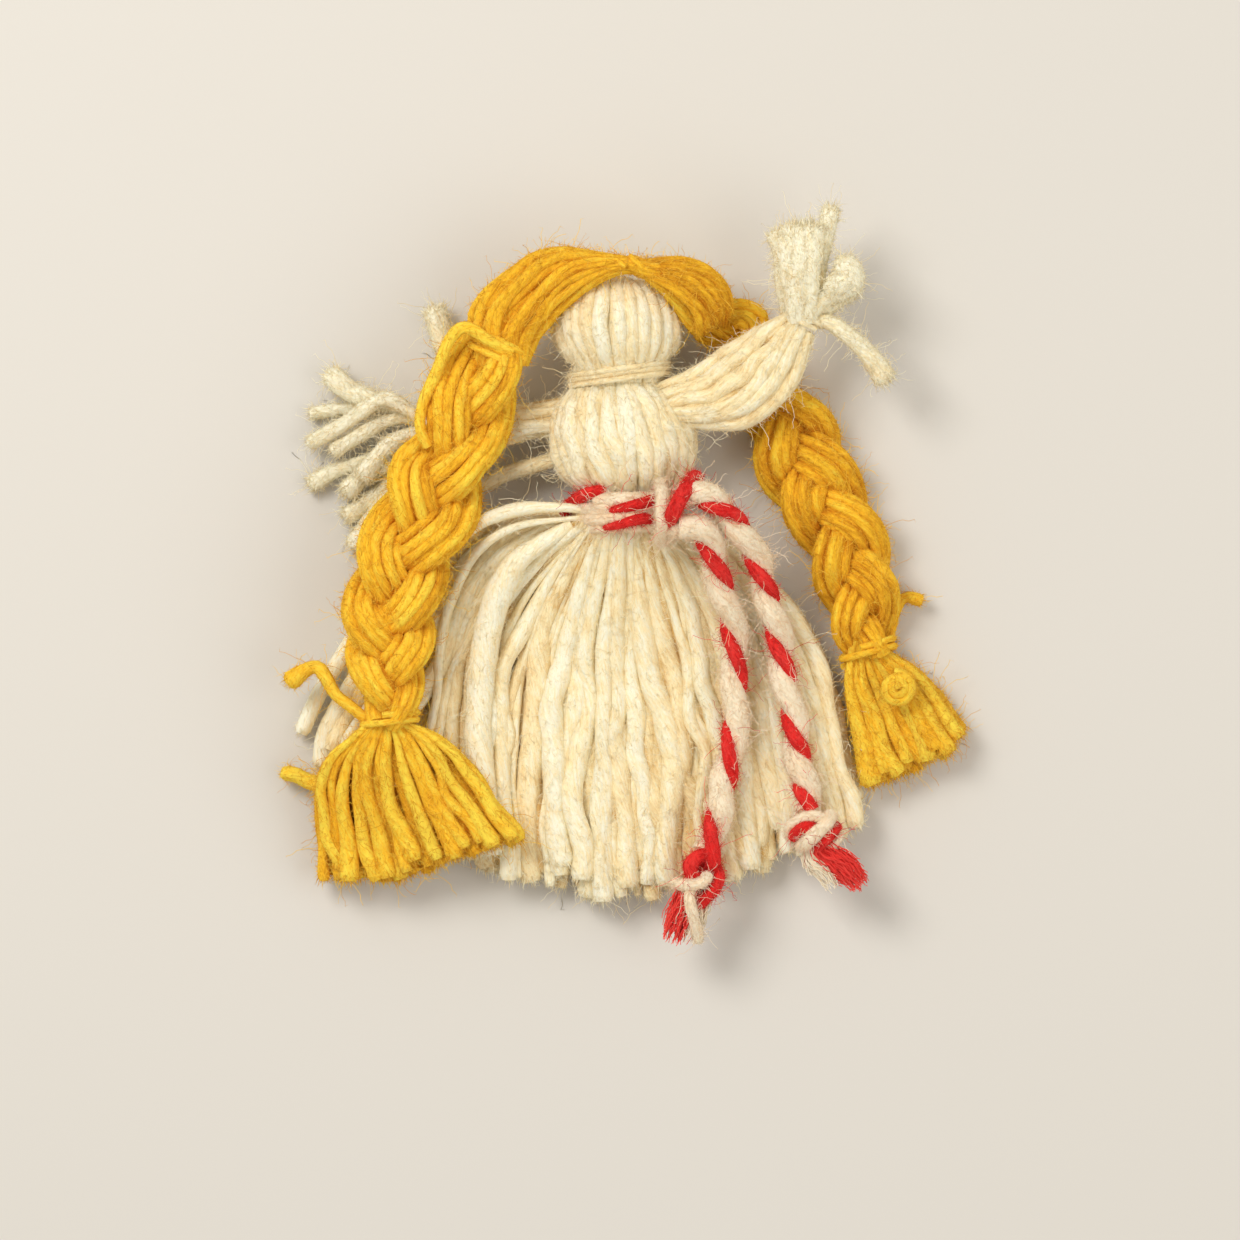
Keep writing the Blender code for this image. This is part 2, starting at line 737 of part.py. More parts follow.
def hair_route(side):
    """A hair lock's middle line, from beside the parting to the temple."""
    sign = 1 if side == "left" else -1
    start = Vector((PARTING_X + sign * (TIE_BAND / 2 + SEAT_GAP), PARTING_Y, PARTING_Z))
    shares = LEFT_HAIR_SHARES if side == "left" else RIGHT_HAIR_SHARES
    drops = LEFT_HAIR_DROP_SHARES if side == "left" else RIGHT_HAIR_DROP_SHARES
    return Route(placed(start, shares, HAIR_LENGTH, between(PARTING_Z, temple_height(side), drops)))


def make_hair(side, parent):
    """A hair lock from the parting to the temple, and its temple tie."""
    width = LEFT_HAIR_WIDTH if side == "left" else RIGHT_HAIR_WIDTH
    route = hair_route(side)
    sections = swollen(route, HAIR_SWELL_SHARES, width, HAIR_THICKNESS)
    neck, ahead = through_tie(route, TEMPLE_WIDTH, TEMPLE_THICKNESS)
    parting = Station(Vector((PARTING_X, PARTING_Y, PARTING_Z)), PARTING_WIDTH / 2, PARTING_THICKNESS / 2)
    if side == "right":
        sections = [*parting_core(parting), *sections]
        winding("parting_tie", parting, -heading(0), TIE_YARN, TIE_TURNS, YELLOW_WOOL, parent)
    lock = bundle(side + "_hair_lock", [*sections, *neck], HAIR_SIDES, YELLOW_WOOL, parent)
    cut_back(lock, head_stations(), BODY_SIDES)
    make_tie(side + "_temple_tie", neck, ahead, YELLOW_WOOL, parent)
    return neck[1].centre, ahead


def parting_core(parting):
    """The narrow stretch of hair inside the parting tie."""
    half = heading(0) * TIE_BAND / 2
    return [parting._replace(centre=parting.centre + way) for way in (half, -half)]


def braid_route(side, start):
    """A braid's middle line, from below the temple tie to its own tie."""
    shares = LEFT_BRAID_SHARES if side == "left" else RIGHT_BRAID_SHARES
    heights = [start.z, *[braid_height(side)] * (len(shares) - 1)]
    return Route(placed(start, shares, BRAID_LENGTH, heights))


def plait_sections(route, lock):
    """One of the braid's three locks, which swings from side to side as it goes over and under."""
    swing = PLAIT_SWING_SHARE * BRAID_WIDTH / 2
    lift = PLAIT_LIFT_SHARE * BRAID_THICKNESS / 2
    rows = []
    for ring in range(BRAID_RINGS):
        share = ring / (BRAID_RINGS - 1)
        swell = table_value(PLAIT_SWELL_SHARES, share)
        phase = 2 * math.pi * (BRAID_TURNS * share + lock / 3)
        away = route.side(share) * swing * math.sin(phase) + UP * lift * math.sin(2 * phase)
        half_width = (BRAID_WIDTH / 2 - swing) * swell
        rows.append(Station(route.point(share) + away * swell, half_width, (BRAID_THICKNESS / 2 - lift) * swell))
    return rows


def make_braid(side, temple, ahead, parent):
    """The plait, fused over a core whose end runs through the braid's tie, and that tie."""
    route = braid_route(side, temple + ahead * 2 * SEAT_GAP)
    top = pivot(side + "_braid_top", route.point(BRAID_PIVOT_SHARE), parent)
    width, thickness = BRAID_WIDTH * PLAIT_CORE_SHARE, BRAID_THICKNESS * PLAIT_CORE_SHARE
    core = [
        Station(route.point(share), table_value(PLAIT_SWELL_SHARES, share) * width, swell * thickness)
        for share, swell in PLAIT_SWELL_SHARES
    ]
    neck, onward = through_tie(route, BRAID_END_WIDTH, BRAID_END_THICKNESS)
    braid = bundle(side + "_braid", [*core, *neck], HAIR_SIDES, YELLOW_WOOL, top)
    for lock in range(3):
        name = f"{braid.name}_lock_{lock + 1}"
        boolean(braid, "UNION", guide(name, bundle_mesh(name, plait_sections(route, lock), BRAID_SIDES)))
    if side == "left":
        boolean(braid, "DIFFERENCE", floor_cutter(braid.name))
    middle = make_tie(side + "_braid_tie", neck, onward, YELLOW_WOOL, top)
    turn = LEFT_BRAID_END_TURN if side == "left" else RIGHT_BRAID_END_TURN
    make_tie_end(side + "_braid_tie_end", middle, onward, turn, YELLOW_WOOL, top)
    make_tassel(side, neck[1].centre, onward, top)


def floor_cutter(name):
    """A slab below the surface that the doll lies on."""
    form = bmesh.new()
    bmesh.ops.create_cube(form, size=1)
    bmesh.ops.scale(form, vec=(BRAID_LENGTH * 2, BRAID_LENGTH * 2, BRAID_THICKNESS), verts=form.verts)
    bmesh.ops.translate(form, vec=-UP * BRAID_THICKNESS / 2, verts=form.verts)
    mesh = bpy.data.meshes.new(name + "_floor")
    form.to_mesh(mesh)
    form.free()
    return guide(name + "_floor", mesh)


def make_tassel(side, start, ahead, parent):
    """The loose hank below a braid's tie."""
    left = side == "left"
    length = LEFT_TASSEL_LENGTH if left else RIGHT_TASSEL_LENGTH
    width = LEFT_TASSEL_WIDTH if left else RIGHT_TASSEL_WIDTH
    turn = LEFT_TASSEL_TURN if left else RIGHT_TASSEL_TURN
    lies_at = TASSEL_HEM_THICKNESS / 2 - REST_FLAT
    if not left:
        lies_at = layer_heights(1)[2] + SEAT_GAP + TASSEL_HEM_THICKNESS / 2
    nose = start + ahead * 2 * SEAT_GAP
    knee = nose + ahead * TASSEL_PIVOT_SHARE * length
    end = knee + turned(ahead, turn) * (1 - TASSEL_PIVOT_SHARE) * length
    knee.z = (nose.z + lies_at) / 2
    end.z = lies_at
    route = Route([nose, knee, (knee + end) / 2, end])
    tie = pivot(side + "_tassel_top", route.point(TASSEL_PIVOT_SHARE), parent)
    sections = swollen(route, TASSEL_SWELL_SHARES, width, TASSEL_HEM_THICKNESS, TASSEL_HEIGHT_SHARES)
    bundle(side + "_tassel", sections, TASSEL_SIDES, YELLOW_WOOL, tie, on_floor=left)


def make_waist():
    """The cord round the waist and its knot."""
    waist = body_station(WAIST_Y, 1, WAIST_WIDTH, WAIST_THICKNESS)
    winding("waist_cord", waist, -heading(90), WAIST_CORD, WAIST_TURNS, RED_WHITE_CORD, start=WAIST_START_ANGLE)
    height = waist.centre.z + waist.half_height + SEAT_GAP + WAIST_CORD + SEAT_GAP + KNOT_THICKNESS / 2
    away = heading(KNOT_ANGLE) * KNOT_LENGTH / 2
    centre = Vector((KNOT_X, WAIST_Y, height))
    route = Route([centre - away, centre, centre + away])
    bundle("waist_knot", swollen(route, KNOT_SWELL_SHARES, KNOT_WIDTH, KNOT_THICKNESS), KNOT_SIDES, RED_WHITE_CORD)


def make_tail(side, points, turn):
    """One end of the waist cord: the free cord, the knot near its end and the frayed tuft."""
    route = Route(points)
    line = [route.point(k / (TAIL_POINTS - 1)) for k in range(TAIL_POINTS)]
    yarn_tube(side + "_cord_tail", line, TAIL_CORD, RED_WHITE_CORD, resolution=2)
    print(f"{side}_cord_tail: {route.length * MM:.1f} mm long")
    ahead = route.direction(1)
    knot_start = route.point(1) + ahead * SEAT_GAP
    knot_end = knot_start + ahead * END_KNOT_LENGTH
    knot_line = Route([knot_start, (knot_start + knot_end) / 2, knot_end])
    knot = swollen(knot_line, END_KNOT_SWELL_SHARES, END_KNOT_WIDTH, END_KNOT_WIDTH)
    bundle(side + "_cord_end_knot", knot, KNOT_SIDES, RED_WHITE_CORD)
    tuft_start = knot_end + ahead * SEAT_GAP
    tuft_bend = tuft_start + ahead * TUFT_LENGTH / 3
    tuft_end = tuft_bend + turned(ahead, turn) * TUFT_LENGTH * 2 / 3
    tuft_line = Route([tuft_start, tuft_bend, tuft_end])
    tuft = swollen(tuft_line, TUFT_SWELL_SHARES, TUFT_WIDTH, TUFT_WIDTH)
    bundle(side + "_cord_tuft", tuft, KNOT_SIDES, RED_WHITE_CORD)


def main():
    clear_scene()
    make_bust()
    make_skirt()
    neck = pivot("neck", Vector((body_x(HEAD_BASE), HEAD_BASE, AXIS_Z)))
    bundle("head", head_stations(), BODY_SIDES, WHITE_WOOL, neck, on_floor=True)
    for side in ("left", "right"):
        make_arm(side)
        temple, ahead = make_hair(side, neck)
        make_braid(side, temple, ahead, neck)
    make_waist()
    make_tail("left", LEFT_TAIL_ROUTE, LEFT_TUFT_TURN)
    make_tail("right", RIGHT_TAIL_ROUTE, RIGHT_TUFT_TURN)


main()
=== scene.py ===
"""Yarn doll: every strand of wool of a spring charm tied from hanks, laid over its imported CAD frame.

The doll lies on its back. +Z points up from the surface, +Y to the crown and +X to the doll's left hand,
which is on the right in a picture of its front. Left and right are the doll's own. Lines and radii are
worked out in millimetres and become metres where a mesh is made.
"""

import json
import logging
import math
from dataclasses import dataclass, field, replace
from enum import Enum
from functools import partial
from typing import Any, Sequence

import bpy
import numpy as np
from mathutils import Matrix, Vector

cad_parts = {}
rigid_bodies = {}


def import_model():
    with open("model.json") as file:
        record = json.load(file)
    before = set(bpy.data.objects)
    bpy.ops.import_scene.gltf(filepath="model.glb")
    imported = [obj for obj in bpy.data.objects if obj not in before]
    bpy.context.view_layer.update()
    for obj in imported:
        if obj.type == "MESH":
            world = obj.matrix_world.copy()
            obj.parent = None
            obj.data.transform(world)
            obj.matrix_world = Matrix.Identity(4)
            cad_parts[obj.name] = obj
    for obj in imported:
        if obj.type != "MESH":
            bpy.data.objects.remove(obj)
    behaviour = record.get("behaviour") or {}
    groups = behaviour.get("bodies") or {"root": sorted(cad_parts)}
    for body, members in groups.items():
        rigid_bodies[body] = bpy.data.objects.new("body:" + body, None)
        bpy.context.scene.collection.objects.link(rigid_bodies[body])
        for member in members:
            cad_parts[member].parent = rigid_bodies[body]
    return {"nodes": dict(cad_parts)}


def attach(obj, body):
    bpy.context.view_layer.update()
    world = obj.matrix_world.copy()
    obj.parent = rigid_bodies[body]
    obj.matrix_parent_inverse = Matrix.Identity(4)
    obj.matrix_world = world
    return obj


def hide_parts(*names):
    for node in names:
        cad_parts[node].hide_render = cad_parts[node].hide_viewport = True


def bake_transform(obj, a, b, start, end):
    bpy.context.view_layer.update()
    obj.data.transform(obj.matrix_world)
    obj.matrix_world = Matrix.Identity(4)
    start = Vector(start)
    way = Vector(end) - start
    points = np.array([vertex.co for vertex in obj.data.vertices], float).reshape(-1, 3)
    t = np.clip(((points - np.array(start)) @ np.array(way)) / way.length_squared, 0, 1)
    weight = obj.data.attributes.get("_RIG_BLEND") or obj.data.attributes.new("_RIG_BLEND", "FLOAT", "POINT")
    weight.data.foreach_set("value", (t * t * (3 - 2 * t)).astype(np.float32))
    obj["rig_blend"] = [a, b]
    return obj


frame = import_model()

Array = np.ndarray
Piece = bpy.types.Object
Pair = tuple[float, float]
Point = tuple[float, float, float]
Places = Sequence[Point]
Table = Sequence[Pair]

MM = 0.001
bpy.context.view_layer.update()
UP = np.array((0.0, 0.0, 1.0))
ACROSS = np.array((1.0, 0.0, 0.0))
# The least height of any point above the floor.
FLOOR_GAP = 0.01 * MM
log = logging.getLogger("yarn_doll")


# Lines and waves


def unit(rows: Array) -> Array:
    """Rows of vectors, each made one unit long."""
    return rows / np.maximum(np.linalg.norm(rows, axis=-1, keepdims=True), 1e-9)


def read(table: Table, shares: Array) -> Array:
    """A table of (share, value) rows, read with straight lines between the rows."""
    rows = np.asarray(table, float)
    return np.interp(shares, rows[:, 0], rows[:, 1])


def eased(shares: Array) -> Array:
    """Shares from 0 to 1 that start and stop gently."""
    held = np.clip(shares, 0.0, 1.0)
    return held * held * (3.0 - 2.0 * held)


def travel(line: Array) -> Array:
    """How far along a line each of its points lies."""
    return np.concatenate(([0.0], np.cumsum(np.linalg.norm(np.diff(line, axis=0), axis=1))))


def shares_of(line: Array) -> Array:
    """How far along a line each of its points lies, as a share of its length."""
    along = travel(line)
    return along / along[-1]


def evenly(line: Array, count: int) -> Array:
    """The same line with that many points, evenly apart."""
    along = travel(line)
    goals = np.linspace(0.0, along[-1], count)
    return np.stack([np.interp(goals, along, line[:, k]) for k in range(3)], axis=1)


def curved(points: Places | Array, spacing: float = 0.6) -> Array:
    """A smooth line through chosen points.

    Args:
        points: the places that it passes, in order.
        spacing: how far apart its own points are.

    Returns:
        The points of the line.
    """
    rows = np.asarray(points, float)
    ends = np.concatenate(([2 * rows[0] - rows[1]], rows, [2 * rows[-1] - rows[-2]]))
    a, b, c, d = (ends[k:len(rows) - 1 + k, None, :] for k in range(4))
    t = (np.arange(24) / 24)[None, :, None]
    bend = (2 * a - 5 * b + 4 * c - d) * t ** 2 + (3 * b - 3 * c + d - a) * t ** 3
    fine = np.concatenate(((b + ((c - a) * t + bend) / 2).reshape(-1, 3), rows[-1:]))
    return evenly(fine, max(4, int(round(travel(fine)[-1] / spacing)) + 1))


def axes(line: Array) -> tuple[Array, Array, Array]:
    """The directions along a line, level across it, and square to both."""
    ahead = unit(np.gradient(line, axis=0))
    side = np.cross(ahead, UP)
    steep = np.linalg.norm(side, axis=1) < 0.05
    side[steep] = ACROSS
    side = unit(side)
    return ahead, side, np.cross(side, ahead)


def turned(way: Array, degrees: float) -> Array:
    """A direction turned about +Z."""
    angle = math.radians(degrees)
    cos, sin = math.cos(angle), math.sin(angle)
    return np.array((way[0] * cos - way[1] * sin, way[0] * sin + way[1] * cos, way[2]))


def wave(rng: np.random.Generator, shares: Array, size: float, bends: float = 2.0) -> Array:
    """A slow random wave, as a strand wanders or swells.

    Args:
        rng: the seeded source of chance.
        shares: where along the strand, from 0 to 1.
        size: about how far it strays.
        bends: about how many times it turns over the whole length.

    Returns:
        One value for each share.
    """
    out = np.zeros_like(shares)
    for k in range(4):
        pace = bends * (0.35 + 0.4 * k) * rng.uniform(0.8, 1.2)
        out += rng.normal(0.0, 1.0 / (1 + k)) * np.sin(math.tau * (pace * shares + rng.random()))
    return out * size / 1.3


def around_oval(aspect: float, count: int) -> Array:
    """Angles round an oval of that height over width, which leave even steps along its edge."""
    fine = np.linspace(0.0, math.tau, 721)
    edge = np.stack((np.cos(fine), aspect * np.sin(fine), np.zeros_like(fine)), axis=1)
    along = travel(edge)
    return np.interp(np.arange(count) / count * along[-1], along, fine)


# Nodes and finishes

# The kinds of node that come up often.
MATH = "ShaderNodeMath"
VECTOR_MATH = "ShaderNodeVectorMath"
NOISE = "ShaderNodeTexNoise"
STORE = "GeometryNodeStoreNamedAttribute"
CHANCE = "FunctionNodeRandomValue"
SET_MATERIAL = "GeometryNodeSetMaterial"


def add_node(tree: Any, kind: str, links: dict | None = None, **settings: Any) -> Any:
    """Adds one node to a tree.

    Args:
        tree: the node tree.
        kind: the node's type.
        links: for each input, by name or number, a value, an output, or a node whose first output feeds it.
        settings: its properties.

    Returns:
        The new node.
    """
    node = tree.nodes.new(kind)
    for name, value in settings.items():
        setattr(node, name, value)
    for name, value in (links or {}).items():
        source = value.outputs[0] if isinstance(value, bpy.types.Node) else value
        if isinstance(source, bpy.types.NodeSocket):
            tree.links.new(source, node.inputs[name])
        else:
            node.inputs[name].default_value = source
    return node


def linear(code: str) -> tuple[float, ...]:
    """An sRGB hex colour as linear red, green, blue and alpha."""
    parts = [int(code[k:k + 2], 16) / 255 for k in (1, 3, 5)]
    even = [p / 12.92 if p <= 0.04045 else ((p + 0.055) / 1.055) ** 2.4 for p in parts]
    return (even[0], even[1], even[2], 1.0)


def shown(name: str, data: Any) -> Piece:
    """Puts a mesh, a lamp or a camera into the scene as an object."""
    made = bpy.data.objects.new(name, data)
    bpy.context.scene.collection.objects.link(made)
    return made


def column(rows: Any, name: str, kind: type, size: int = 1) -> Array:
    """One property of every vertex, loop or face of a mesh, with that many numbers each."""
    values = np.empty(len(rows) * size, kind)
    rows.foreach_get(name, values)
    return values


def points_mesh(name: str, places: Array, columns: dict[str, Array]) -> bpy.types.Mesh:
    """A mesh of bare points with attributes.

    Args:
        name: the mesh's name.
        places: the points, in millimetres.
        columns: for each attribute, a number or a vector for each point.

    Returns:
        The mesh.
    """
    mesh = bpy.data.meshes.new(name)
    mesh.vertices.add(len(places))
    mesh.vertices.foreach_set("co", (places * MM).astype(np.float32).ravel())
    for label, values in columns.items():
        kind, slot = ("FLOAT_VECTOR", "vector") if np.ndim(values) == 2 else ("FLOAT", "value")
        layer = mesh.attributes.new(label, kind, "POINT")
        layer.data.foreach_set(slot, np.asarray(values, np.float32).ravel())
    return mesh


@dataclass(frozen=True)
class WoolFinish:
    """Carded sheep's wool, spun as a soft single ply: matt, with long fibres that wind round the strand."""

    name: str
    slot: str
    # The deep colour is both the darker fibres of the grain and the painted shade in the grooves between
    # strands.
    deep: str
    body: str
    light: str
    fuzz: str
    dim_fuzz: str
    roughness: float = 0.92
    sheen: float = 0.12
    # How fast the fibres wind round the strand, in radians for each millimetre.
    twist: float = 0.20
    # Real fibres are about 0.03 mm thick. They are drawn about five times as coarse, so that they show.
    streaks_per_mm: float = 3.2
    streak_length_mm: float = 3.0
    bump_mm: float = 0.18
    # How much the felted grain darkens the colour, and how much painted shade darkens it in the grooves
    # between strands.
    grain: float = 0.45
    groove: float = 0.30
    # Felted grain for each millimetre across and along the strand.
    felt_scale: Point = (4.6, 4.6, 2.2)
    # Where the deep colour and the plain one stand on the way to the light one, at 1.
    deep_at: float = 0.40
    body_at: float = 0.75

    def spun(self) -> bpy.types.Material:
        """The finish of a strand, which reads the strand's own fibre space and tone, and paints shade into
        its grooves.
        """
        known = bpy.data.materials.get(self.name)
        if known:
            return known
        made = bpy.data.materials.new(self.name)
        made.use_nodes = True
        tree = made.node_tree
        add = partial(add_node, tree)
        shader = tree.nodes["Principled BSDF"]
        fibre = add("ShaderNodeAttribute", attribute_name="fibre")
        tone = add("ShaderNodeAttribute", attribute_name="tone")
        scale = (self.streaks_per_mm, self.streaks_per_mm, 1 / self.streak_length_mm)
        stretched = add("ShaderNodeMapping", {"Vector": fibre.outputs["Vector"], "Scale": scale})
        streaks = add(
            NOISE, {"Vector": stretched, "Scale": 1.0, "Detail": 4.0, "Roughness": 0.62, "Distortion": 0.35}
        )
        slubs = add(NOISE, {"Vector": fibre.outputs["Vector"], "Scale": 0.45, "Detail": 2.0})
        grained = add("ShaderNodeMapping", {"Vector": fibre.outputs["Vector"], "Scale": self.felt_scale})
        felt = add(
            NOISE, {"Vector": grained, "Scale": 1.0, "Detail": 4.0, "Roughness": 0.7, "Distortion": 0.6}
        )
        mixed = add(MATH, {0: slubs, 1: 0.45, 2: tone.outputs["Fac"]}, operation="MULTIPLY_ADD")
        streaked = add(MATH, {0: streaks, 1: 1.20 - self.grain, 2: mixed}, operation="MULTIPLY_ADD")
        lit = add(MATH, {0: felt, 1: self.grain, 2: streaked}, operation="MULTIPLY_ADD")
        # Painted shade: the colour darkens towards the deep one where the next strand lies close, in the
        # grooves.
        groove = add("ShaderNodeAttribute", attribute_name="groove")
        shade = add(MATH, {0: groove.outputs["Fac"], 1: -self.groove, 2: lit}, operation="MULTIPLY_ADD")
        ramp = add("ShaderNodeValToRGB", {"Fac": shade})
        stops = ramp.color_ramp.elements
        stops[0].position, stops[0].color = self.deep_at, linear(self.deep)
        stops[1].position, stops[1].color = 1.0, linear(self.light)
        middle = stops.new(self.body_at)
        middle.color = linear(self.body)
        tree.links.new(ramp.outputs["Color"], shader.inputs["Base Color"])
        height = add(MATH, {0: felt, 1: 0.9, 2: streaks}, operation="MULTIPLY_ADD")
        bump = add("ShaderNodeBump", {"Height": height, "Strength": 0.9, "Distance": self.bump_mm * MM})
        tree.links.new(bump.outputs["Normal"], shader.inputs["Normal"])
        self.settle(shader)
        return made

    def loose(self, dim: bool = False) -> bpy.types.Material:
        """The finish of single loose fibres, which are too thin for a pattern to show on them.

        Args:
            dim: whether they are the darker ones.

        Returns:
            The material.
        """
        name = self.name + ("_dim_fibres" if dim else "_loose_fibres")
        known = bpy.data.materials.get(name)
        if known:
            return known
        made = bpy.data.materials.new(name)
        made.use_nodes = True
        shader = made.node_tree.nodes["Principled BSDF"]
        shader.inputs["Base Color"].default_value = linear(self.dim_fuzz if dim else self.fuzz)
        self.settle(shader)
        return made

    def settle(self, shader: Any) -> None:
        """The shader's plain values, the same all over."""
        shader.inputs["Metallic"].default_value = 0.0
        shader.inputs["Roughness"].default_value = self.roughness
        shader.inputs["Specular IOR Level"].default_value = 0.2
        shader.inputs["Sheen Weight"].default_value = self.sheen
        shader.inputs["Sheen Roughness"].default_value = 0.45
        shader.inputs["Subsurface Weight"].default_value = 0.10
        shader.inputs["Subsurface Radius"].default_value = (1.0, 0.8, 0.5)
        shader.inputs["Subsurface Scale"].default_value = 0.4 * MM
        shader.inputs["Sheen Tint"].default_value = linear(self.light)


# Undyed fleece: cream, with a warm painted shade in the grooves, which stands in for light that passes from
# strand to strand.
UNDYED = WoolFinish(
    "undyed_carded_wool", "undyed_wool", "#DCB066", "#FFEAB8", "#FFF9DE", "#FFF4D0", "#F6DFAC", sheen=0.26
)
# The same wool dyed a golden yellow, in a finer and harder spun strand.
YELLOW = WoolFinish(
    "yellow_dyed_wool", "yellow_wool", "#C87C10", "#FFC32D", "#FFE04E", "#FFCD40", "#DE991C", sheen=0.18,
    streaks_per_mm=3.8, twist=0.36, grain=0.50, groove=0.34,
)
# The red ply of the cord, dyed deep enough to hide the wool's own warmth.
RED = WoolFinish(
    "red_dyed_wool", "red_white_cord", "#A50D0D", "#E62421", "#F8463E", "#F2443E", "#C81E1C", twist=0.3,
    bump_mm=0.24, grain=0.62,
)
# The white ply of the cord: the same fleece, a little pinker beside the red.
BLEACHED = WoolFinish(
    "scoured_white_wool", "red_white_cord", "#EFB682", "#FFE0B6", "#FFF0D2", "#FFEBCC", "#F6D3A8", sheen=0.34,
    twist=0.3, bump_mm=0.20, grain=0.55,
)
# Both plies teased out to single fibres, which are too thin for a grain of their own.
RED_TEASED = replace(RED, name="red_wool_teased_out", bump_mm=0.01, grain=0.3)
BLEACHED_TEASED = replace(BLEACHED, name="white_wool_teased_out", bump_mm=0.01, grain=0.3)
# The finishes of a piece's two plies.
Wools = tuple[WoolFinish, WoolFinish]
WHITE: Wools = (UNDYED, UNDYED)
GOLDEN: Wools = (YELLOW, YELLOW)
CORD: Wools = (BLEACHED, RED)
TEASED: Wools = (BLEACHED_TEASED, RED_TEASED)
# How much lighter the cord's white ply and its red one are than their grain makes them.
PLY_TONES = (0.14, 0.0)


# Strands


@dataclass
class Yarn:
    """One length of yarn: the line it follows, its radius along it, and how it looks."""

    line: Array
    radius: Array
    tone: float
    ply: int
    fuzz: float
    start: float
    cuts: tuple[bool, bool]


class Skein:
    """Gathers lengths of yarn that are spun into one piece."""

    def __init__(self, name: str, seed: int) -> None:
        """Starts empty, with its own seeded source of chance."""
        self.name = name
        self.rng = np.random.default_rng(seed)
        self.yarns: list[Yarn] = []

    def lay(
        self, line: Array, radius: float | Array, cuts: tuple[bool, bool] = (False, False), ply: int = 0,
        fuzz: float = 1.0, slub: float = 0.09, tone: float | None = None, spacing: float = 0.6,
    ) -> None:
        """Lays one length of yarn.

        Args:
            line: the points that it follows.
            radius: its radius, one number or one for each point.
            cuts: whether it shows a cut, frayed end at its start and at its finish.
            ply: which of the piece's two finishes it has.
            fuzz: how thickly loose fibres stand on it, from 0.
            slub: how much its thickness wanders, as a share of its radius.
            tone: how much lighter it is than its neighbours, by chance if not given.
            spacing: how far apart its rings are.
        """
        along = travel(line)
        count = max(4, int(round(along[-1] / spacing)) + 1)
        goals = np.linspace(0.0, along[-1], count)
        thick = np.interp(goals, along, np.broadcast_to(radius, (len(line),)))
        path = evenly(line, count)
        shares = goals / along[-1]
        thick = thick * (1.0 + wave(self.rng, shares, slub, max(2.0, along[-1] / 7.0)))
        for at, cut in zip((goals, along[-1] - goals), cuts):
            if cut:
                thick *= 0.72 + 0.28 * np.clip(at / 0.6, 0.0, 1.0) ** 0.6
        tone = self.rng.normal(0.0, 0.06) if tone is None else tone
        start = float(self.rng.uniform(0.0, 400.0))
        self.yarns.append(Yarn(path, thick, tone, ply, fuzz, start, cuts))

    def host(self) -> Piece:
        """The lines of the whole skein as one mesh of edges, which the spinning tree turns into strands."""
        sizes = [len(y.line) for y in self.yarns]
        firsts = np.concatenate(([0], np.cumsum(sizes)))
        low = np.concatenate([np.arange(a, a + n - 1) for a, n in zip(firsts, sizes)])
        columns = {
            "thickness": np.concatenate([y.radius for y in self.yarns]) * MM,
            "along": np.concatenate([y.start + travel(y.line) for y in self.yarns]),
            "tone": np.repeat([y.tone for y in self.yarns], sizes),
            "ply": np.repeat([float(y.ply) for y in self.yarns], sizes),
            "fuzz": np.repeat([y.fuzz for y in self.yarns], sizes),
            "ahead": np.concatenate([unit(np.gradient(y.line, axis=0)) for y in self.yarns]),
        }
        mesh = points_mesh(self.name, np.concatenate([y.line for y in self.yarns]), columns)
        mesh.edges.add(len(low))
        mesh.edges.foreach_set("vertices", np.stack((low, low + 1), axis=1).astype(np.int32).ravel())
        mesh.update()
        return shown(self.name + "_lines", mesh)

    def frayed(self, per_cut: int) -> list[Array]:
        """Where the fibres of the cut ends stand.

        Args:
            per_cut: how many fibres stand on each cut end.

        Returns:
            Their roots, directions, sizes and plies.
        """
        roots, aims, sizes, plies = [], [], [], []
        for yarn in self.yarns:
            for cut, tip, inner in zip(yarn.cuts, (0, -1), (2, -3)):
                if not cut:
                    continue
                ahead = unit(yarn.line[tip] - yarn.line[inner])
                wide = float(yarn.radius[inner])
                spread = self.rng.normal(0.0, 1.0, (per_cut, 3))
                spread -= (spread @ ahead)[:, None] * ahead
                reach = np.sqrt(self.rng.random((per_cut, 1)))
                back = (0.1 + 0.8 * reach) * self.rng.uniform(0.6, 1.1, (per_cut, 1))
                roots.append(yarn.line[tip] + unit(spread) * reach * wide * 0.95 - ahead * back)
                aims.append(unit(ahead + unit(spread) * reach * 0.4 + self.rng.normal(0, 0.2, (per_cut, 3))))
                sizes.append(self.rng.uniform(0.6, 1.25, per_cut) * min(1.3, 0.6 + 0.4 * wide))
                plies.append(np.full(per_cut, float(yarn.ply)))
        return [np.concatenate(rows) for rows in (roots, aims, sizes, plies)]


# Geometry node trees

# Rays leave a surface from this far outside it.
RAY_START = 0.08 * MM


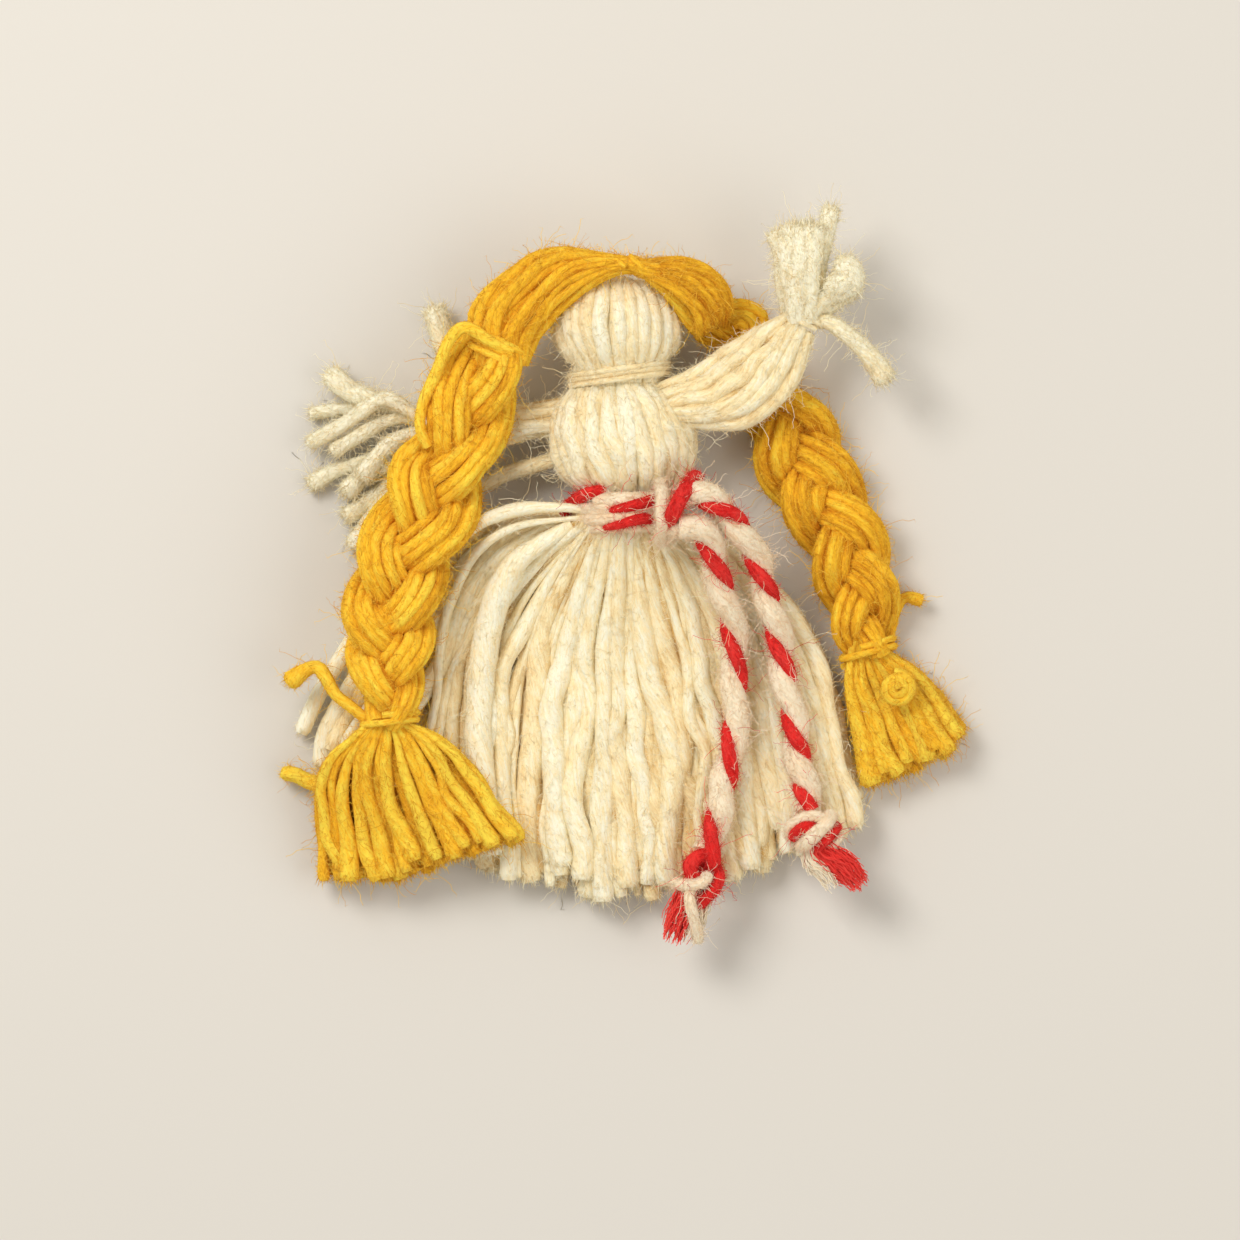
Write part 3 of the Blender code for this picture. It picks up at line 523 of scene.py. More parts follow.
class Tree:
    """A geometry tree that is being built."""

    def __init__(self, name: str, inputs: Sequence[tuple[str, str]]) -> None:
        """Starts the tree.

        Args:
            name: the tree's name.
            inputs: the name and the kind of each input after the geometry.
        """
        self.made = bpy.data.node_groups.new(name, "GeometryNodeTree")
        for label, kind in (("Geometry", "Geometry"), *inputs):
            self.made.interface.new_socket(name=label, in_out="INPUT", socket_type="NodeSocket" + kind)
        self.made.interface.new_socket(name="Geometry", in_out="OUTPUT", socket_type="NodeSocketGeometry")
        self.given = self.add("NodeGroupInput").outputs
        self.result = self.add("NodeGroupOutput").inputs[0]

    def add(self, kind: str, links: dict | None = None, **settings: Any) -> Any:
        """Adds one node to the tree."""
        return add_node(self.made, kind, links, **settings)

    def named(self, name: str, kind: str = "FLOAT") -> Any:
        """The node that reads an attribute of the geometry."""
        return self.add("GeometryNodeInputNamedAttribute", {"Name": name}, data_type=kind)

    def just_outside(self) -> tuple[Any, Any]:
        """The nodes of a place a little off the surface, and of the direction away from it."""
        normal = self.add("GeometryNodeInputNormal")
        lifted = self.add(VECTOR_MATH, {0: normal, "Scale": RAY_START}, operation="SCALE")
        place = self.add("GeometryNodeInputPosition")
        return self.add(VECTOR_MATH, {0: place, 1: lifted}), normal

    def finish(self, geometry: Any, dim: bool = False) -> Any:
        """Ends the tree: copies made real, and one of two materials by the strand's ply.

        Args:
            geometry: the node that gives the copies.
            dim: whether each ply also has a darker material, for the copies that chance marked.

        Returns:
            The finished tree.
        """
        real = self.add("GeometryNodeRealizeInstances", {0: geometry})
        smooth = self.add("GeometryNodeSetShadeSmooth", {0: real})
        last = self.add(SET_MATERIAL, {"Geometry": smooth, "Material": self.given["First wool"]})
        other = self.add("FunctionNodeCompare", {0: self.named("ply"), 1: 0.5})
        chosen = [(other, "Second wool")]
        if dim:
            marked = self.add("FunctionNodeCompare", {0: self.named("dim"), 1: 0.5})
            both = self.add("FunctionNodeBooleanMath", {0: other, 1: marked}, operation="AND")
            chosen += [(marked, "First wool, dim"), (both, "Second wool, dim")]
        for pick, label in chosen:
            links = {"Geometry": last, "Selection": pick, "Material": self.given[label]}
            last = self.add(SET_MATERIAL, links)
        self.made.links.new(last.outputs[0], self.result)
        return self.made


class Mill:
    """The node trees that spin lines into strands, raise loose fibres on them and fray their cut ends."""

    # A real fibre is about 0.03 mm thick. These are 0.05 mm, and 0.09 mm at cut ends, so that they show.
    FIBRE_RADIUS = 0.025
    TIP_RADIUS = 0.045
    FIBRE_LENGTHS = (*np.linspace(0.4, 0.9, 26), *np.linspace(0.96, 1.7, 12), 2.8, 4.2)
    TIP_LENGTHS = (0.7, 0.9, 1.1, 0.8, 1.4, 1.0, 0.9)
    # The shares of the fibres that are dim, and of those that stand at the back, where the doll presses them.
    DIM_SHARE = 0.38
    BACK_SHARE = 0.22
    # How high lumps stand as a share of the radius, and from how near the next strand makes a groove that
    # gets painted shade.
    LUMP_HEIGHT = 0.24
    GROOVE_SHADE_REACH = 1.8 * MM
    # How much room a fibre needs, and how far up a ray looks for more wool above it.
    HEADROOM = 0.5 * MM
    SKY = 60 * MM
    # How a fibre leans along its strand, strays to any side and lifts off it, as shares of unit directions.
    LEAN = 1.1
    STRAY = 0.55
    LIFT = (0.05, 0.60)
    # The least and the greatest size of a standing fibre.
    SIZES = (0.55, 1.3)
    WOOLS = (("First wool", "Material"), ("Second wool", "Material"))
    DIM_WOOLS = (("First wool, dim", "Material"), ("Second wool, dim", "Material"))

    def __init__(self) -> None:
        """Builds the three trees and the fibres that they scatter."""
        self.spinning = self.spinning_tree()
        self.raising = self.raising_tree()
        self.fraying = self.fraying_tree()
        self.fibres = self.fibre_shapes("fuzz_fibres", self.FIBRE_LENGTHS, 0.65, self.FIBRE_RADIUS)
        self.tips = self.fibre_shapes("tip_fibres", self.TIP_LENGTHS, 0.22, self.TIP_RADIUS)

    def spinning_tree(self) -> Any:
        """Lines in, round strands out, with lumps, with a fibre space that winds round each strand, and with
        a mask for painted shade in the grooves.
        """
        inputs = (
            ("Sides", "Int"), ("Twist", "Float"), ("Lump height", "Float"), ("Groove", "Float"), *self.WOOLS
        )
        tree = Tree("spin_strands", inputs)
        lines = tree.add("GeometryNodeMeshToCurve", {0: tree.given[0]})
        ring = tree.add(
            "GeometryNodeCurvePrimitiveCircle", {"Resolution": tree.given["Sides"], "Radius": 1.0}
        )
        place = tree.add("GeometryNodeInputPosition")
        marked = tree.add(
            STORE, {"Geometry": ring, "Name": "around", "Value": place}, data_type="FLOAT_VECTOR"
        )
        swept = tree.add("GeometryNodeCurveToMesh", {
            "Curve": lines, "Profile Curve": marked, "Scale": tree.named("thickness"), "Fill Caps": True
        })
        wide = tree.add(MATH, {0: tree.named("thickness"), 1: 1 / MM}, operation="MULTIPLY")
        flat = tree.add(
            VECTOR_MATH, {0: tree.named("around", "FLOAT_VECTOR"), "Scale": wide}, operation="SCALE"
        )
        wound = tree.add(MATH, {0: tree.named("along"), 1: tree.given["Twist"]}, operation="MULTIPLY")
        spiral = tree.add("ShaderNodeVectorRotate", {"Vector": flat, "Angle": wound}, rotation_type="Z_AXIS")
        lift = tree.add("ShaderNodeCombineXYZ", {2: tree.named("along")})
        fibre = tree.add(VECTOR_MATH, {0: spiral, 1: lift})
        kept = tree.add(STORE, {"Geometry": swept, "Name": "fibre", "Value": fibre}, data_type="FLOAT_VECTOR")
        squeezed = tree.add(
            VECTOR_MATH, {0: tree.named("fibre", "FLOAT_VECTOR"), 1: (1.1, 1.1, 0.5)}, operation="MULTIPLY"
        )
        lumps = tree.add(NOISE, {"Vector": squeezed, "Scale": 1.0, "Detail": 2.0})
        centred = tree.add(MATH, {0: lumps, 1: 0.5}, operation="SUBTRACT")
        rise = tree.add(MATH, {0: centred, 1: tree.given["Lump height"]}, operation="MULTIPLY")
        share = tree.add(MATH, {0: rise, 1: tree.named("thickness")}, operation="MULTIPLY")
        push = tree.add(
            VECTOR_MATH, {0: tree.add("GeometryNodeInputNormal"), "Scale": share}, operation="SCALE"
        )
        moved = tree.add("GeometryNodeSetPosition", {"Geometry": kept, "Offset": push})
        return tree.finish(self.with_groove_shade(tree, moved, tree.given["Groove"]))

    @staticmethod
    def with_groove_shade(tree: Tree, strands: Any, reach: Any) -> Any:
        """Stores how close the next strand is, as the mask for painted shade in the grooves and on the
        inside, and none in the open outside.

        Args:
            tree: the tree.
            strands: the node that gives the strands.
            reach: the output that gives the distance at which a strand counts as free.

        Returns:
            The node of the same strands with that painted-shade mask stored, from 0 in the open to 1 where
            they touch.
        """
        source, normal = tree.just_outside()
        seen = tree.add("GeometryNodeRaycast", {0: strands, 2: source, 3: normal, 4: reach})
        share = tree.add(MATH, {0: seen.outputs[3], 1: reach}, operation="DIVIDE")
        near = tree.add(MATH, {0: 1.0, 1: share}, operation="SUBTRACT")
        hit = tree.add(MATH, {0: near, 1: seen}, operation="MULTIPLY")
        soft = tree.add("GeometryNodeBlurAttribute", {0: hit, 1: 2})
        return tree.add(STORE, {"Geometry": strands, "Name": "groove", "Value": soft})

    def raising_tree(self) -> Any:
        """Strands in, loose fibres that stand on them out."""
        inputs = (
            ("Fibres", "Collection"),
            ("Whole doll", "Object"),
            ("Least headroom", "Float"),
            ("Share at the back", "Float"),
            ("Per square metre", "Float"),
            ("Seed", "Int"),
            *self.WOOLS,
            *self.DIM_WOOLS,
        )
        tree = Tree("raise_fibres", inputs)
        doll = tree.add("GeometryNodeObjectInfo", {"Object": tree.given["Whole doll"]})
        source, normal = tree.just_outside()
        near = tree.add("GeometryNodeRaycast", {
            0: doll.outputs["Geometry"], 2: source, 3: normal, 4: tree.given["Least headroom"]
        })
        above = tree.add(
            "GeometryNodeRaycast", {0: doll.outputs["Geometry"], 2: source, 3: (0.0, 0.0, 1.0), 4: self.SKY}
        )
        open_air = tree.add(MATH, {0: 1.0, 1: near}, operation="SUBTRACT")
        share = tree.add("ShaderNodeMix", {0: above, 2: 1.0, 3: tree.given["Share at the back"]})
        both = tree.add(MATH, {0: open_air, 1: share}, operation="MULTIPLY")
        held = tree.add(MATH, {0: tree.named("fuzz"), 1: both}, operation="MULTIPLY")
        thick = tree.add(MATH, {0: held, 1: tree.given["Per square metre"]}, operation="MULTIPLY")
        roots = tree.add("GeometryNodeDistributePointsOnFaces", {
            "Mesh": tree.given[0], "Density": thick, "Seed": tree.given["Seed"]
        })
        lean = tree.add(CHANCE, {2: -self.LEAN, 3: self.LEAN, "Seed": 3})
        along = tree.add(
            VECTOR_MATH, {0: tree.named("ahead", "FLOAT_VECTOR"), "Scale": lean.outputs[1]}, operation="SCALE"
        )
        stray = tree.add(CHANCE, {"Seed": 4}, data_type="FLOAT_VECTOR")
        stray.inputs[0].default_value, stray.inputs[1].default_value = (-self.STRAY,) * 3, (self.STRAY,) * 3
        swept = tree.add(VECTOR_MATH, {0: along, 1: stray})
        lift = tree.add(CHANCE, {2: self.LIFT[0], 3: self.LIFT[1], "Seed": 5})
        upward = tree.add(
            VECTOR_MATH, {0: roots.outputs["Normal"], "Scale": lift.outputs[1]}, operation="SCALE"
        )
        raised = tree.add(VECTOR_MATH, {0: upward, 1: swept})
        return self.scatter(tree, roots.outputs["Points"], raised, chance_sizes=True)

    def fraying_tree(self) -> Any:
        """Points at cut ends in, fibres that spread from them out."""
        inputs = (("Fibres", "Collection"), ("Seed", "Int"), *self.WOOLS, *self.DIM_WOOLS)
        tree = Tree("fray_cut_ends", inputs)
        return self.scatter(tree, tree.given[0], tree.named("aim", "FLOAT_VECTOR"))

    def scatter(self, tree: Tree, points: Any, aim: Any, chance_sizes: bool = False) -> Any:
        """Stands a fibre on each point, along its own direction and turned by chance.

        Args:
            tree: the tree.
            points: the output that gives the points.
            aim: the node that gives their directions.
            chance_sizes: whether chance gives the sizes, or the points do.

        Returns:
            The finished tree.
        """
        shapes = tree.add("GeometryNodeCollectionInfo", {
            0: tree.given["Fibres"], "Separate Children": True, "Reset Children": True
        })
        spin = tree.add(CHANCE, {2: 0.0, 3: math.tau, "Seed": tree.given["Seed"]})
        roll = tree.add("FunctionNodeAxisAngleToRotation", {"Angle": spin.outputs[1]})
        stood = tree.add("FunctionNodeAlignRotationToVector", {"Vector": aim}, axis="Z")
        rotated = tree.add(
            "FunctionNodeRotateRotation", {"Rotation": stood, "Rotate By": roll}, rotation_space="LOCAL"
        )
        if chance_sizes:
            size = tree.add(CHANCE, {2: self.SIZES[0], 3: self.SIZES[1], "Seed": 7})
            scale = size.outputs[1]
        else:
            scale = tree.named("size")
        placed = tree.add("GeometryNodeInstanceOnPoints", {
            "Points": points, "Instance": shapes, "Pick Instance": True, "Rotation": rotated, "Scale": scale
        })
        chosen = tree.add(CHANCE, {"Probability": self.DIM_SHARE, "Seed": 9}, data_type="BOOLEAN")
        marked = tree.add(
            STORE, {"Geometry": placed, "Name": "dim", "Value": chosen.outputs[3]}, domain="INSTANCE"
        )
        return tree.finish(marked, dim=True)

    def fibre_shapes(self, name: str, lengths: Sequence[float], curl: float, radius: float) -> Any:
        """A collection of single curled fibres, each a three-sided tube with a few faces.

        Args:
            name: the collection's name.
            lengths: each fibre's length.
            curl: how strongly they bend.
            radius: how thick they are.

        Returns:
            The collection, which isn't in the scene.
        """
        kept = bpy.data.collections.new(name)
        rng = np.random.default_rng(len(lengths))
        for index, length in enumerate(lengths):
            bends = 8 if length > 2.0 else 3 if length > 0.95 else 2
            ways = [np.array((rng.normal(0, 0.35), rng.normal(0, 0.35), 1.0))]
            # A long fibre keeps turning one way, into an open loop.
            turn = rng.normal(0.0, 0.3, 3) if length > 2.0 else 0.0
            for _ in range(bends - 2):
                ways.append(unit(ways[-1]) + rng.normal(0.0, curl, 3) + turn)
            steps = np.stack([unit(way) for way in ways]) * length / len(ways)
            line = np.concatenate((np.zeros((1, 3)), np.cumsum(steps, axis=0))) - (0, 0, 0.12)
            shape = bpy.data.meshes.new(f"{name}_{index}")
            points, faces = self.thin_tube(line, radius)
            shape.from_pydata((points * MM).tolist(), [], faces)
            kept.objects.link(bpy.data.objects.new(shape.name, shape))
        return kept

    @staticmethod
    def thin_tube(line: Array, radius: float) -> tuple[Array, list[tuple[int, ...]]]:
        """The points and faces of a three-sided tube that closes to a point at its tip."""
        ahead = unit(np.gradient(line, axis=0))
        side = unit(np.cross(ahead, (0.31, 0.87, 0.38)))
        over = np.cross(ahead, side)
        rings = []
        for k in range(len(line) - 1):
            for corner in range(3):
                angle = math.tau * corner / 3
                rings.append(line[k] + radius * (side[k] * math.cos(angle) + over[k] * math.sin(angle)))
        faces: list[tuple[int, ...]] = [(2, 1, 0)]
        last = len(rings)
        for k in range(len(line) - 1):
            for corner in range(3):
                a, b = 3 * k + corner, 3 * k + (corner + 1) % 3
                faces.append((a, b, last) if k == len(line) - 2 else (a, b, b + 3, a + 3))
        return np.array([*rings, line[-1]]), faces

    @staticmethod
    def run(piece: Piece, tree: Any, values: dict[str, Any], name: str) -> Piece:
        """Runs a tree on an object and keeps the result as a plain mesh.

        Args:
            piece: the object that goes in, which is removed if it was only a host.
            tree: the node tree.
            values: its inputs by name.
            name: the new piece's name.

        Returns:
            The new piece, at the origin.
        """
        modifier = piece.modifiers.new(tree.name, "NODES")
        modifier.node_group = tree
        sockets = {s.name: s.identifier for s in tree.interface.items_tree if s.in_out == "INPUT"}
        for label, value in values.items():
            modifier[sockets[label]] = value
        graph = bpy.context.evaluated_depsgraph_get()
        graph.update()
        mesh = bpy.data.meshes.new_from_object(piece.evaluated_get(graph), depsgraph=graph)
        mesh.name = name
        piece.modifiers.remove(modifier)
        places = column(mesh.vertices, "co", np.float32, 3)
        heights = places.reshape(-1, 3)[:, 2]
        heights[:] = np.maximum(heights, FLOOR_GAP)
        mesh.vertices.foreach_set("co", places)
        return shown(name, mesh)

    def spin(self, skein: Skein, wools: Wools, sides: int) -> Piece:
        """Spins a skein into one piece of strands.

        Args:
            skein: the laid yarns.
            wools: the finishes of its plies.
            sides: how many sides each strand has.

        Returns:
            The piece.
        """
        host = skein.host()
        values = {
            "Sides": sides, "Twist": wools[0].twist, "Lump height": self.LUMP_HEIGHT,
            "Groove": self.GROOVE_SHADE_REACH, "First wool": wools[0].spun(), "Second wool": wools[1].spun(),
        }
        piece = self.run(host, self.spinning, values, skein.name)
        self.discard(host)
        return piece

    def fuzz(
        self, piece: Piece, doll: Piece, skein: Skein, wools: Wools, per_mm2: float, per_cut: int
    ) -> Piece:
        """Raises loose fibres on a spun piece and frays its cut ends, as a second piece.

        Args:
            piece: the spun piece.
            doll: every spun piece as one object, which tells where there is room for fibres.
            skein: the skein that it came from.
            wools: the finishes of its plies.
            per_mm2: how many fibres stand on a square millimetre.
            per_cut: how many stand on each cut end.

        Returns:
            The piece of loose fibres.
        """
        finishes = {
            "First wool": wools[0].loose(), "Second wool": wools[1].loose(),
            "First wool, dim": wools[0].loose(dim=True), "Second wool, dim": wools[1].loose(dim=True),
        }
        values = {
            "Fibres": self.fibres, "Whole doll": doll, "Least headroom": self.HEADROOM,
            "Share at the back": self.BACK_SHARE, "Per square metre": per_mm2 / MM ** 2, "Seed": 11,
            **finishes,
        }
        fuzz = self.run(piece, self.raising, values, skein.name + "_fuzz")
        # The bending weights belong to the strands. The frame works them out anew for the fibres.
        for label in [a.name for a in fuzz.data.attributes if a.name.startswith("_")]:
            fuzz.data.attributes.remove(fuzz.data.attributes[label])
        if per_cut and any(any(yarn.cuts) for yarn in skein.yarns):
            roots, aims, sizes, plies = skein.frayed(per_cut)
            columns = {"aim": aims, "size": sizes, "ply": plies}
            host = shown(skein.name + "_tips", points_mesh(skein.name + "_tips", roots, columns))
            tips = self.run(
                host, self.fraying, {"Fibres": self.tips, "Seed": 5, **finishes}, skein.name + "_tip_fibres"
            )
            self.discard(host)
            with bpy.context.temp_override(active_object=fuzz, selected_editable_objects=[fuzz, tips]):
                bpy.ops.object.join()
        return fuzz

    @staticmethod
    def discard(piece: Piece) -> None:
        """Removes a helper object and its mesh."""
        mesh = piece.data
        bpy.data.objects.remove(piece)
        bpy.data.meshes.remove(mesh)

    def close(self) -> None:
        """Removes the fibre shapes once nothing needs them."""
        for shapes in (self.fibres, self.tips):
            for shape in list(shapes.objects):
                self.discard(shape)
            bpy.data.collections.remove(shapes)


# Bundles


class Spread(Enum):
    """How the strands of a bundle lie in its section."""

    RING = "side by side round the outside"
    UNDER = "just under the outside, which closes the gaps"
    FILL = "a few fat ones in the middle"


@dataclass
class Bundle:
    """The swelling outside of a hank: sections along its middle line."""

    centre: Array
    side: Array
    over: Array
    half_width: Array
    half_height: Array

    @classmethod
    def upright(cls, points: Places | Array, width: Table, height: Table) -> "Bundle":
        """A bundle along a smooth line, with sections that stand upright and don't tip with it.

        Args:
            points: the places that its middle line passes.
            width: its half width by share of its length.
            height: its half height by share of its length.

        Returns:
            The bundle.
        """
        line = curved(points, 0.5)
        shares = shares_of(line)
        side, over = np.tile(ACROSS, (len(line), 1)), np.tile(UP, (len(line), 1))
        return cls(line, side, over, read(width, shares), read(height, shares))

    @classmethod
    def between(cls, one: Sequence, other: Sequence, middle: Table, half_height: Table) -> "Bundle":
        """A bundle that fills the space between two edges seen from the front.

        Args:
            one: the places along one edge, without a height.
            other: the places along the other edge.
            middle: the height of its middle by share of its length.
            half_height: its half height by share of its length.

        Returns:
            The bundle.
        """
        sides = [curved([(*place, 0.0) for place in edge], 0.5) for edge in (one, other)]
        count = max(map(len, sides))
        left, right = (evenly(edge, count) for edge in sides)
        shares = np.linspace(0.0, 1.0, count)
        centre = (left + right) / 2
        centre[:, 2] = read(middle, shares)
        reach = np.linalg.norm(right - left, axis=1) / 2
        return cls(centre, unit(right - left), np.tile(UP, (count, 1)), reach, read(half_height, shares))

    def strands(
        self, skein: Skein, count: int, spread: Spread = Spread.RING, turn: float = 0.0, first: float = 0.0,
        thick: Pair = (0.35, 1.3), overlap: float = 1.12, stray: float = 0.10, floor: bool = False,
    ) -> None:
        """Lays strands along the bundle.

        Args:
            skein: where they go.
            count: how many.
            spread: how they lie in the section.
            turn: how many degrees they wind round the bundle from its start to its end.
            first: the angle of the first strand, in degrees.
            thick: the least and the greatest radius.
            overlap: how much wider a strand is than its place.
            stray: how far they wander, in radians.
            floor: whether the bundle lies on the floor and flattens there.
        """
        shares = shares_of(self.centre)
        inside = {Spread.RING: 0.0, Spread.UNDER: 0.55, Spread.FILL: 2.0}[spread]
        wide = np.maximum(self.half_width - inside, self.half_width * 0.4)
        high = np.maximum(self.half_height - inside, self.half_height * 0.4)
        edge = math.pi * (3 * (wide + high) - np.sqrt((3 * wide + high) * (wide + 3 * high)))
        grow = overlap if spread is Spread.RING else 1.4
        angles = around_oval(float(np.mean(high) / np.mean(wide)), count)
        for angle in angles:
            own = skein.rng.uniform(0.88, 1.14)
            radius = np.clip(edge / count / 2 * grow * own, *thick)
            phase = angle + math.radians(first) + math.radians(turn) * shares
            phase = phase + wave(skein.rng, shares, stray, 2.5) + skein.rng.normal(0.0, stray * 0.7)
            depth = 1.0 - np.abs(wave(skein.rng, shares, 0.04, 2.0))
            line = self.centre + self.side * ((wide * depth - radius) * np.cos(phase))[:, None]
            line = line + self.over * ((high * depth - radius) * np.sin(phase))[:, None]
            if floor:
                line[:, 2] = np.maximum(line[:, 2], radius * 0.95)
            skein.lay(line, radius, fuzz=1.0 if spread is Spread.RING else 0.0)


def winding(
    skein: Skein, centre: Array, ahead: Array, half: Pair, radius: float, turns: float, pitch: float,
    first: float = 90.0, tilt: float = 0.0,
) -> None:
    """Winds a yarn round a narrow place.

    Args:
        skein: where it goes.
        centre: the middle of the winding.
        ahead: the level direction of the bundle.
        half: the half width and half height of what it winds round.
        radius: the yarn's radius.
        turns: how many turns.
        pitch: how far a turn moves along.
        first: the angle where it starts, in degrees.
        tilt: how far it leans along the bundle from one side to the other.
    """
    side = unit(np.cross(ahead, UP))
    count = int(26 * turns) + 1
    steps = np.arange(count) / 26
    angle = math.radians(first) + math.tau * steps
    forward = pitch * (steps - turns / 2) + tilt * np.cos(angle) + wave(skein.rng, steps / turns, 0.08, 3.0)
    wide, high = half[0] + radius * 0.8, half[1] + radius * 0.8
    line = centre + ahead * forward[:, None]
    line = line + side * (wide * np.cos(angle))[:, None] + UP * (high * np.sin(angle))[:, None]
    line[:, 2] = np.maximum(line[:, 2], radius)
    skein.lay(line, radius, slub=0.07, spacing=0.4)


# The doll's parts


@dataclass
class Spun:
    """A spun piece that still needs its fuzz, and what the fuzz shares with it."""

    piece: Piece
    skein: Skein
    wools: Wools
    bodies: Sequence[str]
    bend: tuple[Point, Point] | None
    per_mm2: float
    per_cut: int


@dataclass
class Workshop:
    """What every part needs: the mill, and the frame calls that place a finished piece."""

    mill: Mill = field(default_factory=Mill)
    spun: list[Spun] = field(default_factory=list)

    def place(
        self, skein: Skein, wools: Wools, nodes: Sequence[str], bodies: Sequence[str],
        bend: tuple[Point, Point] | None = None, sides: int = 9, per_mm2: float = 12.0, per_cut: int = 0,
    ) -> Piece:
        """Spins a skein and gives it to the frame. Its fuzz follows once every piece is there.

        Args:
            skein: the laid yarns.
            wools: the finishes of its plies.
            nodes: the CAD nodes that the piece stands for.
            bodies: the body that it rides on, or the two that it bends between.
            bend: where the bending starts and ends, in millimetres.
            sides: how many sides each strand has.
            per_mm2: how many loose fibres stand on a square millimetre.
            per_cut: how many stand on each cut end.

        Returns:
            The piece of strands.
        """
        piece = self.mill.spin(skein, wools, sides)
        made = Spun(piece, skein, wools, bodies, bend, per_mm2, per_cut)
        self.give(piece, made)
        self.spun.append(made)
        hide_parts(*nodes)
        return piece

    @staticmethod
    def give(part: Piece, made: Spun) -> None:
        """Gives a piece to the frame, on the body or between the bodies of what it belongs to."""
        if made.bend:
            start, end = (tuple(c * MM for c in place) for place in made.bend)
            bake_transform(part, made.bodies[0], made.bodies[1], start=start, end=end)
        else:
            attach(part, made.bodies[0])
        log.info("%s: %d faces on %s", part.name, len(part.data.polygons), " and ".join(made.bodies))

    def finish(self) -> int:
        """Raises the fuzz on every piece, and tells how many triangles all pieces have."""
        doll = self.whole()
        total = 0
        for made in self.spun:
            if made.per_mm2 > 0:
                fuzz = self.mill.fuzz(made.piece, doll, made.skein, made.wools, made.per_mm2, made.per_cut)
                self.give(fuzz, made)
                total += sum(len(p.vertices) - 2 for p in fuzz.data.polygons)
            total += sum(len(p.vertices) - 2 for p in made.piece.data.polygons)
        self.mill.discard(doll)
        self.mill.close()
        return total

    def whole(self) -> Piece:
        """Every spun piece as one bare mesh."""
        places, starts, corners = [], [], []
        shift, turn = 0, 0
        for made in self.spun:
            mesh = made.piece.data
            places.append(column(mesh.vertices, "co", np.float32, 3))
            starts.append(column(mesh.polygons, "loop_start", np.int32) + turn)
            corners.append(column(mesh.loops, "vertex_index", np.int32) + shift)
            shift += len(mesh.vertices)
            turn += len(mesh.loops)
        mesh = bpy.data.meshes.new("whole_doll")
        mesh.vertices.add(shift)
        mesh.vertices.foreach_set("co", np.concatenate(places))
        mesh.loops.add(turn)
        mesh.loops.foreach_set("vertex_index", np.concatenate(corners))
        mesh.polygons.add(sum(map(len, starts)))
        mesh.polygons.foreach_set("loop_start", np.concatenate(starts))
        mesh.update(calc_edges=True)
        return shown("whole_doll", mesh)


